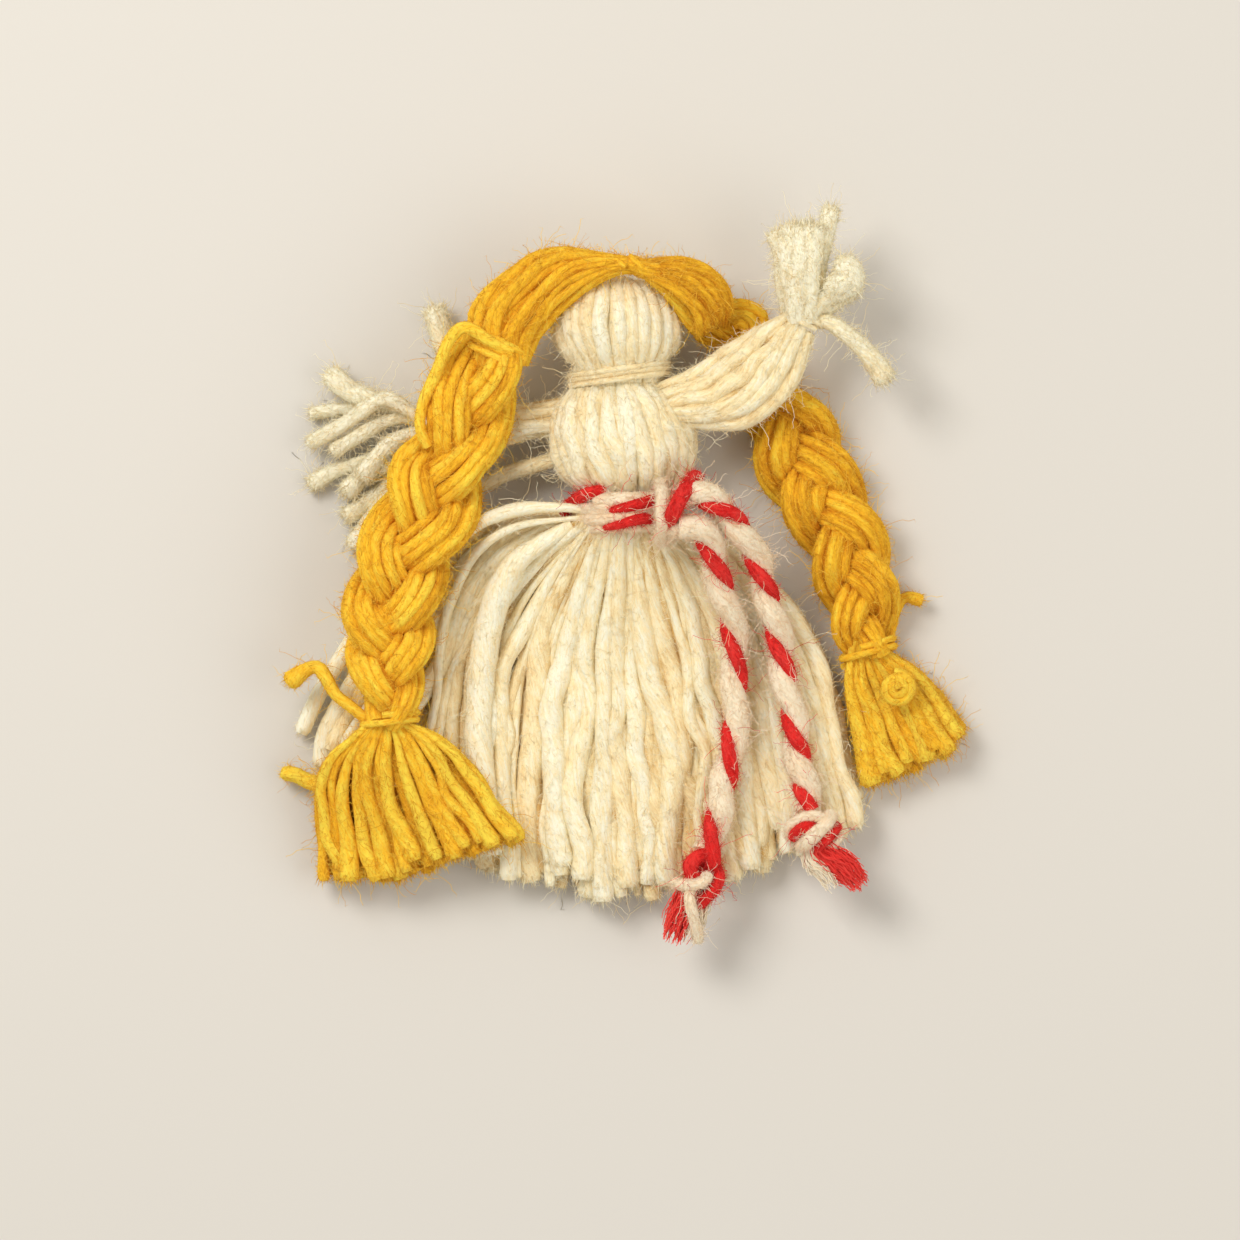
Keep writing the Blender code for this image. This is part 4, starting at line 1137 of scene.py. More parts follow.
@dataclass
class CordTail:
    """A free end of the waist cord: a fat white ply and a thinner red one, its end knot and its tuft."""

    name: str
    route: Places
    reds: Sequence[Pair]
    tuft_turn: float
    white_side: float
    seed: int
    # The knot's own yarns, each with its ply and radius.
    loops: Sequence[tuple[int, float, Places]]
    # How far the white tuft stands to the side of the red one, and how long it is.
    white_tuft: Pair = (1.25, 5.4)
    diameter: float = 3.0
    white_radius: float = 1.5
    red_radius: float = 0.86
    points: int = 40

    def line(self) -> Array:
        """The middle of the cord, point by point."""
        return evenly(curved(self.route, 0.25), self.points)

    def plies(self, skein: Skein, line: Array) -> None:
        """Lays both plies, twisted about a line so that the red shows in front where it should."""
        fine = evenly(line, int(travel(line)[-1] / 0.35))
        along = travel(fine)
        fronts = []
        for x, y in self.reds:
            gap = np.hypot(fine[:, 0] - x, fine[:, 1] - y)
            fronts.append(along[int(np.argmin(gap))])
        pitch = float(np.mean(np.diff(fronts)))
        known = [fronts[0] - pitch, *fronts, fronts[-1] + pitch]
        turns = np.interp(along, known, np.arange(len(known)))
        _, side, over = axes(fine)
        # The red ply keeps to the front for most of each turn, and the white one swells over it at the sides,
        # so that the red shows as a row of long slanted lozenges.
        part = turns - np.round(turns)
        swing = np.sign(part) * read(((0.0, 0.0), (0.40, 0.22), (0.5, 0.5)), np.abs(part))
        even = math.pi / 2 + math.tau * turns
        red = math.pi / 2 + math.tau * swing
        front = np.clip(np.sin(red), 0.0, 1.0)
        for ply, angle, out, radius in (
            (0, even, np.full(len(fine), -0.50), np.full(len(fine), self.white_radius)),
            (1, red, 0.50 + 0.70 * front, self.red_radius * (0.48 + 0.52 * front)),
        ):
            path = fine + side * (out * np.cos(angle))[:, None] + over * (out * np.sin(angle))[:, None]
            skein.lay(path, radius, ply=ply, slub=0.06, spacing=0.4, tone=PLY_TONES[ply])

    def build(self, shop: Workshop) -> None:
        line = self.line()
        skein = Skein(f"{self.name}_tail_plies", self.seed)
        self.plies(skein, line)
        cord = shop.place(skein, CORD, [f"{self.name}_cord_tail"], ["torso"], sides=14, per_mm2=21.0)
        ahead = unit(line[-1] - line[-4])
        knot = self.knot(shop, line[-1], ahead)
        tuft = self.tuft(shop, line[-1] + ahead * 3.7, ahead)

    def knot(self, shop: Workshop, start: Array, ahead: Array) -> Piece:
        """The overhand knot: loops of both plies round the cord."""
        skein = Skein(f"{self.name}_tail_knot", self.seed + 1)
        for ply, radius, points in self.loops:
            skein.lay(
                curved(points, 0.4), radius, (False, True), ply, slub=0.06, spacing=0.4, tone=PLY_TONES[ply]
            )
        for ply in (0, 1):
            skein.lay(start + np.outer(np.linspace(-0.6, 4.1, 10), ahead), 1.1, ply=ply, fuzz=0.0)
        nodes = [f"{self.name}_cord_end_knot"]
        return shop.place(skein, CORD, nodes, ["torso"], sides=12, per_mm2=21.0)

    def tuft(self, shop: Workshop, start: Array, ahead: Array) -> Piece:
        """The frayed end: a thick brush of red fibres and a smaller one of white beside it."""
        skein = Skein(f"{self.name}_tail_tuft", self.seed + 2)
        rng = skein.rng
        away = turned(ahead, self.tuft_turn)
        side = unit(np.cross(away, UP)) * self.white_side
        for ply, count, push, length, room in ((1, 400, -0.55, 7.6, 1.0), (0, 190, *self.white_tuft, 0.75)):
            middle = curved(
                (
                    start - ahead * 0.8, start + ahead * 1.2 + side * push,
                    start + away * length * 0.6 + side * push * 1.3,
                    start + away * length + side * push * 1.5,
                ),
                0.5,
            )
            shares = np.linspace(0.0, 1.0, len(middle))
            girth = room * read(((0, 0.8), (0.3, 1.1), (0.7, 1.25), (0.9, 1.1), (1, 0.9)), shares)
            core = int(len(middle) * 0.8)
            skein.lay(middle[:core], 0.9 * girth[:core], ply=ply, fuzz=0.0, tone=0.45)
            for _ in range(count):
                turn = rng.uniform(0, math.tau)
                out = 0.30 + 0.95 * math.sqrt(rng.random()) + (0.5 if rng.random() < 0.10 else 0.0)
                end = max(6, int(len(middle) * rng.uniform(0.45, 1.0)))
                swing = turn + np.linspace(0.0, rng.normal(0.0, 0.5), end)
                apart = side * np.cos(swing)[:, None] + UP * (0.9 * np.sin(swing))[:, None]
                line = middle[:end] + apart * (girth[:end] * out)[:, None]
                line = np.concatenate((line, [line[-1] + unit(line[-1] - line[-3]) * rng.uniform(0.3, 1.1)]))
                line[2:] += rng.normal(0.0, 0.15, (len(line) - 2, 3))
                shades = rng.normal(0.42, 0.12)
                skein.lay(
                    line, np.linspace(0.11, 0.05, len(line)), ply=ply, fuzz=0.0, spacing=0.9, tone=shades
                )
        nodes = [f"{self.name}_cord_tuft"]
        return shop.place(skein, TEASED, nodes, ["torso"], sides=3, per_mm2=0.0)


@dataclass
class BodyHank:
    """The white hank folded at the crown and tied at the neck and waist: its head, bust and neck tie. Its cut
    ends below the waist are the skirt, which is a part of its own.
    """

    axis_z: float = 7.0
    neck_y: float = 7.5
    head_base: float = 9.9
    crown_y: float = 20.5
    waist_bottom: float = -11.66
    head_half: Pair = (8.1, 7.5)
    bust_half: Pair = (9.2, 7.5)
    hoops: int = 13
    bust_strands: int = 25
    # Half widths from inside the neck tie to the crown, and from the neck tie to below the waist.
    head_rows: Table = (
        (7.0, 0.66), (9.2, 0.69), (10.2, 0.80), (11.6, 0.93), (13.4, 1.00), (15.2, 0.98), (17.0, 0.89),
        (18.6, 0.70), (19.8, 0.44), (20.4, 0.18),
    )
    bust_rows: Table = (
        (9.0, 0.60), (6.4, 0.61), (5.2, 0.76), (3.6, 0.91), (1.2, 1.00), (-1.6, 1.00), (-3.8, 0.90),
        (-5.4, 0.70), (-6.4, 0.56), (-8.5, 0.52), (-9.9, 0.50),
    )

    def lean(self, y: float | Array) -> float | Array:
        """The x of the body's axis at a height."""
        return -1.0 + 1.7 * (self.crown_y - y) / (self.crown_y - self.waist_bottom)

    def head_top(self, x: Array, y: Array) -> Array:
        """The z of the head's front at points seen from above, or the floor beside it."""
        rows = np.asarray(self.head_rows)
        swell = np.interp(y, rows[:, 0], rows[:, 1], left=0.0, right=0.0)
        across = (x - self.lean(y)) / np.maximum(self.head_half[0] * swell, 1e-6)
        rise = np.sqrt(np.clip(1.0 - across ** 2, 0.0, 1.0)) * self.head_half[1] * swell
        return np.where((np.abs(across) < 1.0) & (swell > 0), self.axis_z + rise, 0.0)

    def build_head(self, shop: Workshop) -> None:
        """Strands that run from the neck over the crown and down the back, like hoops."""
        skein = Skein("head_hank", 21)
        for layer, count, inside in ((0, self.hoops, 1.0), (1, 12, 0.86), (2, 6, 0.55)):
            for k in range(count):
                phi = math.radians(-90 + 180 * (k + 0.5) / count) + skein.rng.normal(0, 0.03)
                own = skein.rng.uniform(0.9, 1.12)
                front, back, girth = [], [], []
                for y, swell in self.head_rows:
                    arc = math.pi * sum(self.head_half) / 2 * swell * inside / count
                    radius = float(np.clip(arc / 2 * 1.24 * own, 0.5, (1.05, 1.1, 1.8)[layer]))
                    wide = max(swell, 0.26) * self.head_half[0] * inside - radius
                    high = self.head_half[1] * swell * inside - radius
                    x = self.lean(y) + wide * math.sin(phi) + skein.rng.normal(0, 0.10)
                    y_here = y - (1 - inside) * 8.0 * (y - self.neck_y) / 13.0
                    if y > 19.0:
                        y_here -= 1.6 * math.sin(phi) ** 2 + 0.2
                    z = max(high, 0.15) * math.cos(phi)
                    front.append((x, y_here, self.axis_z + z))
                    back.append((x, y_here, self.axis_z - z))
                    girth.append(radius)
                line = curved([*front, *reversed(back)], 0.55)
                shares = np.linspace(0, 1, 2 * len(girth))
                radius = np.interp(shares_of(line), shares, [*girth, *reversed(girth)])
                line[:, 2] = np.maximum(line[:, 2], radius)
                skein.lay(line, radius, fuzz=1.0 if layer == 0 else 0.0)
                skein.yarns[-1].tone += 0.10
        bend = ((self.lean(8.0), 8.0, self.axis_z), (self.lean(11.0), 11.0, self.axis_z))
        shop.place(skein, WHITE, ["head"], ["torso", "head"], bend)

    def build_bust(self, shop: Workshop) -> None:
        """Strands that swell between the neck and the waist, and lean a little as they go down."""
        skein = Skein("bust_hank", 22)
        rows = np.asarray(self.bust_rows)
        shares = (rows[0, 0] - rows[:, 0]) / (rows[0, 0] - rows[-1, 0])
        points = [(self.lean(y), y, self.axis_z) for y in rows[:, 0]]
        width = list(zip(shares, rows[:, 1] * self.bust_half[0]))
        height = list(zip(shares, np.maximum(rows[:, 1], 0.56) * self.bust_half[1]))
        bundle = Bundle.upright(points, width, height)
        bundle.strands(
            skein, self.bust_strands, turn=-26, first=12, thick=(0.5, 1.4), overlap=1.32, stray=0.06,
            floor=True,
        )
        bundle.strands(skein, 26, Spread.UNDER, turn=-20, thick=(0.6, 1.4), floor=True)
        bundle.strands(skein, 9, Spread.FILL, thick=(0.6, 2.4), floor=True)
        for yarn in skein.yarns:
            yarn.tone += 0.10
        shop.place(skein, WHITE, ["bust"], ["torso"])

    def build_neck_tie(self, shop: Workshop) -> None:
        """A few turns of thin white yarn round the neck."""
        skein = Skein("neck_wraps", 23)
        centre = np.array((self.lean(self.neck_y), self.neck_y + 0.5, self.axis_z))
        winding(skein, centre, np.array((0.0, -1.0, 0.0)), (5.7, 4.9), 0.36, 3.4, 0.60, first=200, tilt=0.95)
        shop.place(skein, WHITE, ["neck_tie"], ["torso"], sides=8, per_mm2=20.0)


# Strands of the skirt that show well, from the doll's right side to its left, each with its share across.
SKIRT_GUIDES = (
    (0.00, (
        (-5.8, -9.6), (-9.3, -8.9), (-14.2, -9.5), (-19.4, -13.0), (-24.5, -18.4), (-29.3, -24.5),
        (-33.6, -30.3), (-38.3, -36.4),
    )),
    (0.11, (
        (-5.5, -9.9), (-9.9, -10.3), (-15.8, -14.1), (-20.6, -20.8), (-25.0, -29.1), (-28.4, -36.4),
        (-33.2, -44.8),
    )),
    (0.26, (
        (-4.6, -10.4), (-9.3, -14.1), (-14.2, -20.1), (-17.0, -26.7), (-17.9, -33.1), (-17.6, -40.6),
        (-17.0, -52.2),
    )),
    (0.42, (
        (-3.2, -10.7), (-5.1, -16.4), (-7.5, -24.2), (-9.0, -32.7), (-9.5, -41.2), (-9.0, -48.5),
        (-8.5, -54.4),
    )),
    (0.57, ((-0.5, -10.7), (-1.0, -19.4), (-1.7, -31.5), (-1.9, -43.6), (-1.7, -50.9), (-1.5, -56.0))),
    (0.71, ((2.7, -10.7), (4.1, -18.2), (5.6, -26.7), (6.4, -36.4), (7.0, -46.1), (7.5, -54.2))),
    (0.86, ((4.8, -10.4), (9.5, -15.3), (13.3, -23.6), (15.8, -33.9), (17.0, -43.6), (17.7, -51.9))),
    (1.00, (
        (6.6, -10.2), (12.5, -12.8), (17.0, -17.0), (21.0, -21.3), (23.6, -26.1), (25.7, -31.5),
        (27.1, -37.6), (28.7, -43.6), (29.8, -48.8),
    )),
)
# Single strands that catch the eye, each with its layer and its radius.
SKIRT_SINGLES = (
    ("upper", 1.75, (
        (-6.0, -10.2, 9.6), (-12.0, -14.1, 8.6), (-14.4, -17.4, 7.6), (-15.8, -21.4, 6.6),
        (-16.8, -26.1, 5.8), (-17.3, -31.5, 5.4), (-17.4, -37.0, 5.3), (-16.7, -43.6, 5.3),
        (-15.8, -50.4, 5.2),
    )),
    ("upper", 0.95, (
        (-2.7, -8.7, 10.6), (-7.5, -8.2, 10.4), (-12.4, -8.4, 9.6), (-17.2, -10.0, 8.2), (-20.8, -12.7, 6.4),
        (-23.9, -17.0, 4.4), (-27.5, -23.0, 3.4),
    )),
    ("upper", 0.6, (
        (-5.0, -9.4, 10.4), (-12.4, -10.4, 9.2), (-17.2, -13.2, 7.2), (-20.2, -18.2, 5.4),
        (-21.9, -24.2, 5.0), (-22.5, -31.5, 5.0), (-24.0, -37.5, 5.0),
    )),
    ("under", 1.0, (
        (-24.0, -14.5, 3.4), (-30.3, -20.4, 2.6), (-33.8, -25.9, 2.2), (-36.6, -30.4, 1.9),
        (-39.0, -35.6, 1.6),
    )),
    ("under", 1.15, (
        (-27.0, -22.0, 2.6), (-31.1, -26.7, 2.0), (-33.8, -31.5, 1.6), (-36.0, -35.8, 1.4),
        (-36.6, -39.6, 1.4),
    )),
)


@dataclass
class Skirt:
    """The cut strands of the body hank, which fan out below the waist in two layers.

    Its guides and its single strands are the tables above.
    """

    guides: Sequence[tuple[float, Sequence[Pair]]] = SKIRT_GUIDES
    axis_z: float = 7.0
    points: int = 60
    singles: Sequence[tuple[str, float, Places]] = SKIRT_SINGLES

    def __post_init__(self) -> None:
        """Makes the guides smooth lines with the same number of points."""
        self.shares = np.array([share for share, _ in self.guides])
        lines = [evenly(curved([(*p, 0.0) for p in line], 0.5), self.points) for _, line in self.guides]
        self.lines = np.stack(lines)

    def path(self, across: Array, along: Array) -> Array:
        """Places in the fan between the guides, seen from above."""
        rows = along * (self.points - 1)
        places = np.empty((len(along), 3))
        for k, (u, row) in enumerate(zip(across, rows)):
            low = min(int(row), self.points - 2)
            row_places = self.lines[:, low] * (low + 1 - row) + self.lines[:, low + 1] * (row - low)
            for axis in range(3):
                places[k, axis] = np.interp(u, self.shares, row_places[:, axis])
        return places

    def strand(
        self, skein: Skein, across: float, end: float, radius: float, waist_z: float, hem_z: float
    ) -> None:
        """Lays one strand from inside the waist cord to the hem.

        Args:
            skein: where it goes.
            across: its place from the doll's right side, at 0, to its left, at 1.
            end: where it ends, as a share of the skirt's length.
            radius: its full radius.
            waist_z: its height at the waist.
            hem_z: its height at the hem.
        """
        shares = np.linspace(0.0, 1.0, 56)
        along = shares * end
        loose = eased(along / 0.5)
        sway = loose * (1.0 - 0.75 * float(eased(np.array((across - 0.78) / 0.16))))
        places = across + (wave(skein.rng, shares, 0.022, 1.6) + wave(skein.rng, shares, 0.009, 4.0)) * sway
        line = self.path(places, np.minimum(along, 1.0))
        if end > 1.0:
            past = along > 1.0
            ahead = unit(line[~past][-1] - line[~past][-4])
            line[past] = line[~past][-1] + np.outer((along[past] - 1.0) * 46.0, ahead)
        drop = np.clip(along / 0.46, 0.0, 1.0)
        height = hem_z + (waist_z - hem_z) * (1 - drop) ** 1.8
        thick = radius * (0.42 + 0.58 * eased((along - 0.02) / 0.36))
        line[:, 2] = np.maximum(height + wave(skein.rng, shares, 0.30, 2.5) * loose, thick * 0.95)
        inside = line[0] * (0.9, 0.0, 0.0) + (0.05, -8.4, waist_z)
        path = np.concatenate((curved([inside, line[0]], 0.8)[:-1], line))
        girth = np.concatenate((np.full(len(path) - len(line), thick[0]), thick))
        skein.lay(path, girth, (False, True), slub=0.09, spacing=0.75)

    def build(self, shop: Workshop) -> None:
        """Makes the under layer, and the upper one in two halves, with its mix of thick and thin strands."""
        layers = (
            ("under", "", 50, (0.0, 1.0), (0.90, 1.0), (0.85, 1.30), -1.0, 1.3, 31),
            ("upper", "_right", 38, (0.04, 0.54), (0.90, 1.03), (0.42, 1.55), 1.0, 3.4, 32),
            ("upper", "_left", 44, (0.55, 0.99), (0.90, 1.03), (0.50, 1.60), 1.0, 3.8, 33),
        )
        for name, part, count, (low, high), ends, sizes, rise, hem_z, seed in layers:
            skein = Skein(f"skirt_{name}{part}_strands", seed)
            rng = skein.rng
            for k in range(count):
                middle = low + (high - low) * (k + 0.5) / count
                across = float(np.clip(middle + rng.normal(0, 0.008), 0.0, 1.0))
                thin = rng.random() ** 1.3
                radius = sizes[1] - (sizes[1] - sizes[0]) * thin if rise > 0 else rng.uniform(*sizes)
                radius = min(radius, 1.2 + 9.0 * (1.0 - across))
                if rise > 0:
                    level = (rng.random() - 0.38) * 2.0 + (1.0 - radius) * 0.6
                else:
                    level = rng.uniform(-0.3, 0.9)
                arch = math.sqrt(max(0.0, 1 - (2 * across - 1) ** 2))
                waist_z = self.axis_z + rise * (0.4 + 3.4 * arch) + rng.normal(0, 0.25)
                edge = 1.0 - 0.045 * abs(2 * across - 1) ** 6
                self.strand(skein, across, rng.uniform(*ends) * edge, radius, waist_z, hem_z + level)
                # Painted light and shade: strands of the upper layer that lie higher are lighter, and the
                # under layer is darker, as in the shade of the upper one.
                skein.yarns[-1].tone += 0.02 + 0.12 * level if rise > 0 else -0.14
            for layer, radius, points in self.singles:
                if layer == name and part != "_left":
                    line = curved(points, 0.6)
                    thick = radius * (0.5 + 0.5 * eased(travel(line) / 14.0))
                    skein.lay(line, thick, (False, True), slub=0.08, tone=0.10)
            locks = [n for n in frame["nodes"] if n.startswith(f"skirt_{name}_lock")]
            half = len(locks) // 2
            nodes = {"": locks, "_right": locks[:half], "_left": locks[half:]}[part]
            shop.place(skein, WHITE, nodes, ["torso"], per_mm2=7.0 if part else 4.0, per_cut=60)


@dataclass
class WaistCord:
    """The red and white cord: its turns round the waist and the knot at the front."""

    centre: Point = (0.55, -8.35, 7.0)
    half: Pair = (5.0, 4.7)
    radius: float = 0.95
    turns: float = 2.2
    pitch: float = 2.15
    # Where the red ply comes to the front, seen from above, with its radius at each end.
    reds: Sequence[tuple[float, float, Sequence[Pair]]] = (
        (0.80, 0.75, ((-2.4, -6.2), (-4.3, -6.6), (-6.1, -7.7), (-6.9, -9.0), (-5.8, -10.0))),
        (0.35, 0.95, ((-2.4, -8.7), (-0.2, -8.3), (2.0, -7.8), (4.4, -7.2))),
        (0.35, 0.85, ((-2.4, -10.7), (-0.4, -10.3), (1.6, -9.7), (3.6, -9.4))),
    )

    def build(self, shop: Workshop) -> None:
        """Winds the white ply, lays the red one where it shows, and lays the loops of the knot."""
        skein = Skein("waist_wraps", 41)
        steps = np.linspace(0.0, self.turns, int(self.turns * 40))
        angle = math.radians(52.0) + math.tau * steps
        wide, high = self.half[0] + self.radius, self.half[1] + self.radius
        x = self.centre[0] - wide * np.cos(angle)
        y = self.centre[1] + self.pitch * (0.5 - steps / self.turns) * self.turns / 2 - 0.35 * np.cos(angle)
        white = np.stack((x, y, self.centre[2] + high * np.sin(angle)), axis=1)
        skein.lay(white, self.radius, slub=0.08, spacing=0.45, tone=PLY_TONES[0])
        below = white + (0.0, -1.15, -0.35)
        skein.lay(below, self.radius * 0.72, slub=0.08, spacing=0.45, tone=0.05)
        for first, last, places in self.reds:
            line = curved([(x, y, 0.0) for x, y in places], 0.4)
            shares = np.linspace(0.0, 1.0, len(line))
            across = np.clip((line[:, 0] - self.centre[0]) / (wide + 0.5), -0.985, 0.985)
            line[:, 2] = self.centre[2] + (high + 0.75) * np.sqrt(1 - across ** 2)
            line[:, 2] -= 1.5 * (np.abs(2 * shares - 1) ** 6)
            skein.lay(line, first + (last - first) * shares, ply=1, slub=0.05, spacing=0.4, tone=0.0)
        shop.place(skein, CORD, ["waist_cord"], ["torso"], sides=12, per_mm2=26.0)
        self.knot(shop)

    def knot(self, shop: Workshop) -> None:
        """One white loop over the turns, the red ply beside it, and the two ends that come out of it."""
        skein = Skein("waist_knot_loops", 42)
        loops = (
            (0, 0.88, (
                (4.6, -5.2, 11.8), (4.9, -6.4, 14.4), (4.9, -8.6, 15.9), (4.9, -10.8, 15.2),
                (4.8, -12.2, 12.2),
            )),
            (1, 0.95, (
                (8.9, -4.6, 12.4), (8.1, -5.5, 15.6), (7.2, -6.9, 17.5), (6.2, -8.8, 17.1), (5.6, -10.4, 14.4)
            )),
            (0, 1.10, ((5.6, -8.4, 12.8), (6.4, -7.8, 14.2), (7.4, -7.2, 15.2), (8.6, -7.0, 15.3))),
            (0, 1.20, ((4.9, -11.4, 12.6), (6.0, -10.8, 14.4), (7.4, -10.6, 15.4), (8.8, -11.2, 15.0))),
        )
        for ply, radius, points in loops:
            skein.lay(curved(points, 0.4), radius, ply=ply, slub=0.05, spacing=0.4, tone=PLY_TONES[ply])
        shop.place(skein, CORD, ["waist_knot"], ["torso"], sides=12, per_mm2=26.0)


@dataclass
class Arm:
    """A sleeve of white strands, its wrist tie with one loose end, and the loose strands of the hand."""

    side: str
    edges: tuple[Sequence, Sequence]
    middle: Table
    half_height: Table
    wrist: Point
    heading: float
    end_line: Places
    fingers: Sequence[tuple[float, Places]]
    bend: tuple[Point, Point]
    seed: int
    strands: int = 11
    turn: float = 30.0
    extras: Sequence[Places] = ()
    wraps: float = 2.4
    # A felted hand has strands that widen until they merge.
    felted: bool = False

    def build(self, shop: Workshop) -> None:
        """Makes the sleeve, the tie and the hand."""
        on_floor = self.side == "right"
        skein = Skein(f"{self.side}_sleeve", self.seed)
        bundle = Bundle.between(*self.edges, self.middle, self.half_height)
        bundle.strands(
            skein, self.strands, turn=self.turn, thick=(0.5, 1.15), overlap=1.0, stray=0.17, floor=on_floor
        )
        bundle.strands(skein, 9, Spread.UNDER, thick=(0.4, 0.9), floor=on_floor)
        bundle.strands(skein, 4, Spread.FILL, thick=(0.4, 1.3), floor=on_floor)
        for points in self.extras:
            skein.lay(curved(points, 0.5), 0.95)
        bodies = ["torso", f"{self.side}_arm"]
        shop.place(skein, WHITE, [f"{self.side}_arm"], bodies, self.bend)
        ahead = turned(ACROSS, self.heading)
        wraps = Skein(f"{self.side}_wrist_wraps", self.seed + 1)
        winding(
            wraps, np.array(self.wrist), ahead, (2.1, 1.4), 0.34 if self.felted else 0.42, self.wraps, 0.7,
            first=40, tilt=0.25,
        )
        end = curved(self.end_line, 0.4)
        thick = read(((0, 0.75), (0.3, 1.05), (1, 1.45)), np.linspace(0, 1, len(end)))
        wraps.lay(end, thick, (False, True), fuzz=1.5, slub=0.14, tone=0.1)
        nodes = [f"{self.side}_wrist_tie", f"{self.side}_wrist_tie_end"]
        shop.place(wraps, WHITE, nodes, [f"{self.side}_arm"], sides=8, per_mm2=18.0, per_cut=150)
        hand = Skein(f"{self.side}_hand_strands", self.seed + 2)
        for radius, points in self.fingers:
            line = curved(points, 0.5)
            shares = shares_of(line)
            thick = radius * (0.98 + 0.36 * shares if self.felted else 0.72 + 0.38 * shares)
            hand.lay(line, thick, (False, True), slub=0.14, tone=0.24 if self.felted else 0.20)
        nodes = [n for n in frame["nodes"] if n.startswith(f"{self.side}_hand_strand")]
        shop.place(hand, WHITE, nodes, [f"{self.side}_arm"], per_mm2=26.0, per_cut=130)


@dataclass
class Hair:
    """The yellow hank over the head: from temple to temple through the parting, with its ties."""

    body: BodyHank
    edges: tuple[Sequence, Sequence] = (
        (
            (-18.3, 12.6), (-18.6, 15.5), (-17.0, 18.1), (-13.6, 20.8), (-11.3, 22.5), (-8.5, 23.2),
            (-5.5, 23.0), (-2.1, 22.4), (0.6, 22.1), (3.0, 22.0), (6.0, 22.2), (8.4, 21.8), (10.2, 21.2),
            (11.7, 19.9), (12.4, 18.2), (13.2, 16.2), (14.9, 14.4),
        ),
        (
            (-11.3, 8.8), (-10.4, 10.9), (-9.7, 12.2), (-8.4, 13.7), (-7.0, 15.4), (-5.3, 16.8), (-3.4, 18.2),
            (-1.4, 19.4), (0.6, 20.1), (2.4, 19.9), (3.9, 18.7), (5.3, 17.2), (6.3, 16.0), (7.2, 14.5),
            (8.2, 13.0), (10.0, 11.6), (12.9, 10.6),
        ),
    )
    middle: Table = (
        (0.0, 9.6), (0.12, 10.6), (0.28, 12.1), (0.42, 13.0), (0.52, 13.4), (0.62, 13.0), (0.74, 10.8),
        (0.86, 7.4), (0.95, 4.8), (1.0, 3.8),
    )
    half_height: Table = (
        (0.0, 2.3), (0.15, 2.9), (0.35, 2.8), (0.50, 1.7), (0.54, 1.7), (0.66, 2.7), (0.85, 3.0), (1.0, 2.2)
    )
    temples: tuple[tuple[str, Point, float], ...] = (
        ("right", (-14.9, 10.9, 9.6), -118.0), ("left", (15.2, 11.6, 3.8), -66.0)
    )
    # The outermost and the innermost of the strands that arch down at the left temple.
    folds: tuple[Places, Places] = (
        (
            (1.6, 21.1, 12.8), (6.2, 21.6, 13.6), (10.0, 20.7, 12.4), (12.2, 18.8, 10.8), (12.9, 16.5, 9.2),
            (12.4, 14.2, 7.0), (11.6, 13.0, 5.4),
        ),
        (
            (1.8, 20.6, 12.6), (4.6, 19.3, 14.6), (7.2, 17.4, 13.8), (8.9, 15.4, 12.6), (9.4, 14.0, 11.0),
            (9.4, 13.0, 8.4), (9.6, 12.6, 6.0),
        ),
    )
    strands: int = 19
    seed: int = 61

    def build(self, shop: Workshop) -> None:
        """Makes the hank, pushed off the head where it lies on it, and the three ties."""
        skein = Skein("hair_strands", self.seed)
        bundle = Bundle.between(*self.edges, self.middle, self.half_height)
        bundle.strands(skein, self.strands, turn=70, thick=(0.46, 0.76), overlap=1.25, stray=0.16)
        bundle.strands(skein, 15, Spread.UNDER, turn=40, thick=(0.46, 0.8))
        bundle.strands(skein, 6, Spread.FILL, thick=(0.45, 1.4))
        outer, inner = (curved(line, 0.5) for line in self.folds)
        inner = evenly(inner, len(outer))
        for share in np.linspace(0.0, 1.0, 9):
            drift = wave(skein.rng, np.linspace(0.0, 1.0, len(outer)), 0.05) + share
            line = outer + (inner - outer) * drift[:, None]
            skein.lay(line, skein.rng.uniform(0.52, 0.72))
        for yarn in skein.yarns:
            top = self.body.head_top(yarn.line[:, 0], yarn.line[:, 1]) + yarn.radius * 0.8
            near = yarn.line[:, 2] > self.body.axis_z
            yarn.line[:, 2] = np.where(near, np.maximum(yarn.line[:, 2], top), yarn.line[:, 2])
            yarn.tone += float(-0.14 * eased((np.mean(yarn.line[:, 0]) + 1.0) / 6.0))
        shop.place(skein, GOLDEN, ["right_hair_lock", "left_hair_lock"], ["head"], sides=8)
        for side, place, heading in self.temples:
            wraps = Skein(f"{side}_temple_wraps", self.seed + len(side))
            ahead = turned(ACROSS, heading)
            winding(wraps, np.array(place), ahead, (2.9, 2.1), 0.5, 2.3, 0.95, first=30, tilt=0.35)
            shop.place(wraps, GOLDEN, [f"{side}_temple_tie"], ["head"], sides=8)
        parting = Skein("parting_wraps", 60)
        centre = np.array((1.6, 21.1, 13.6))
        winding(parting, centre, np.array((0.97, 0.24, 0.0)), (0.8, 1.35), 0.36, 1.5, 1.6, tilt=1.1)
        shop.place(parting, GOLDEN, ["parting_tie"], ["head"], sides=8)


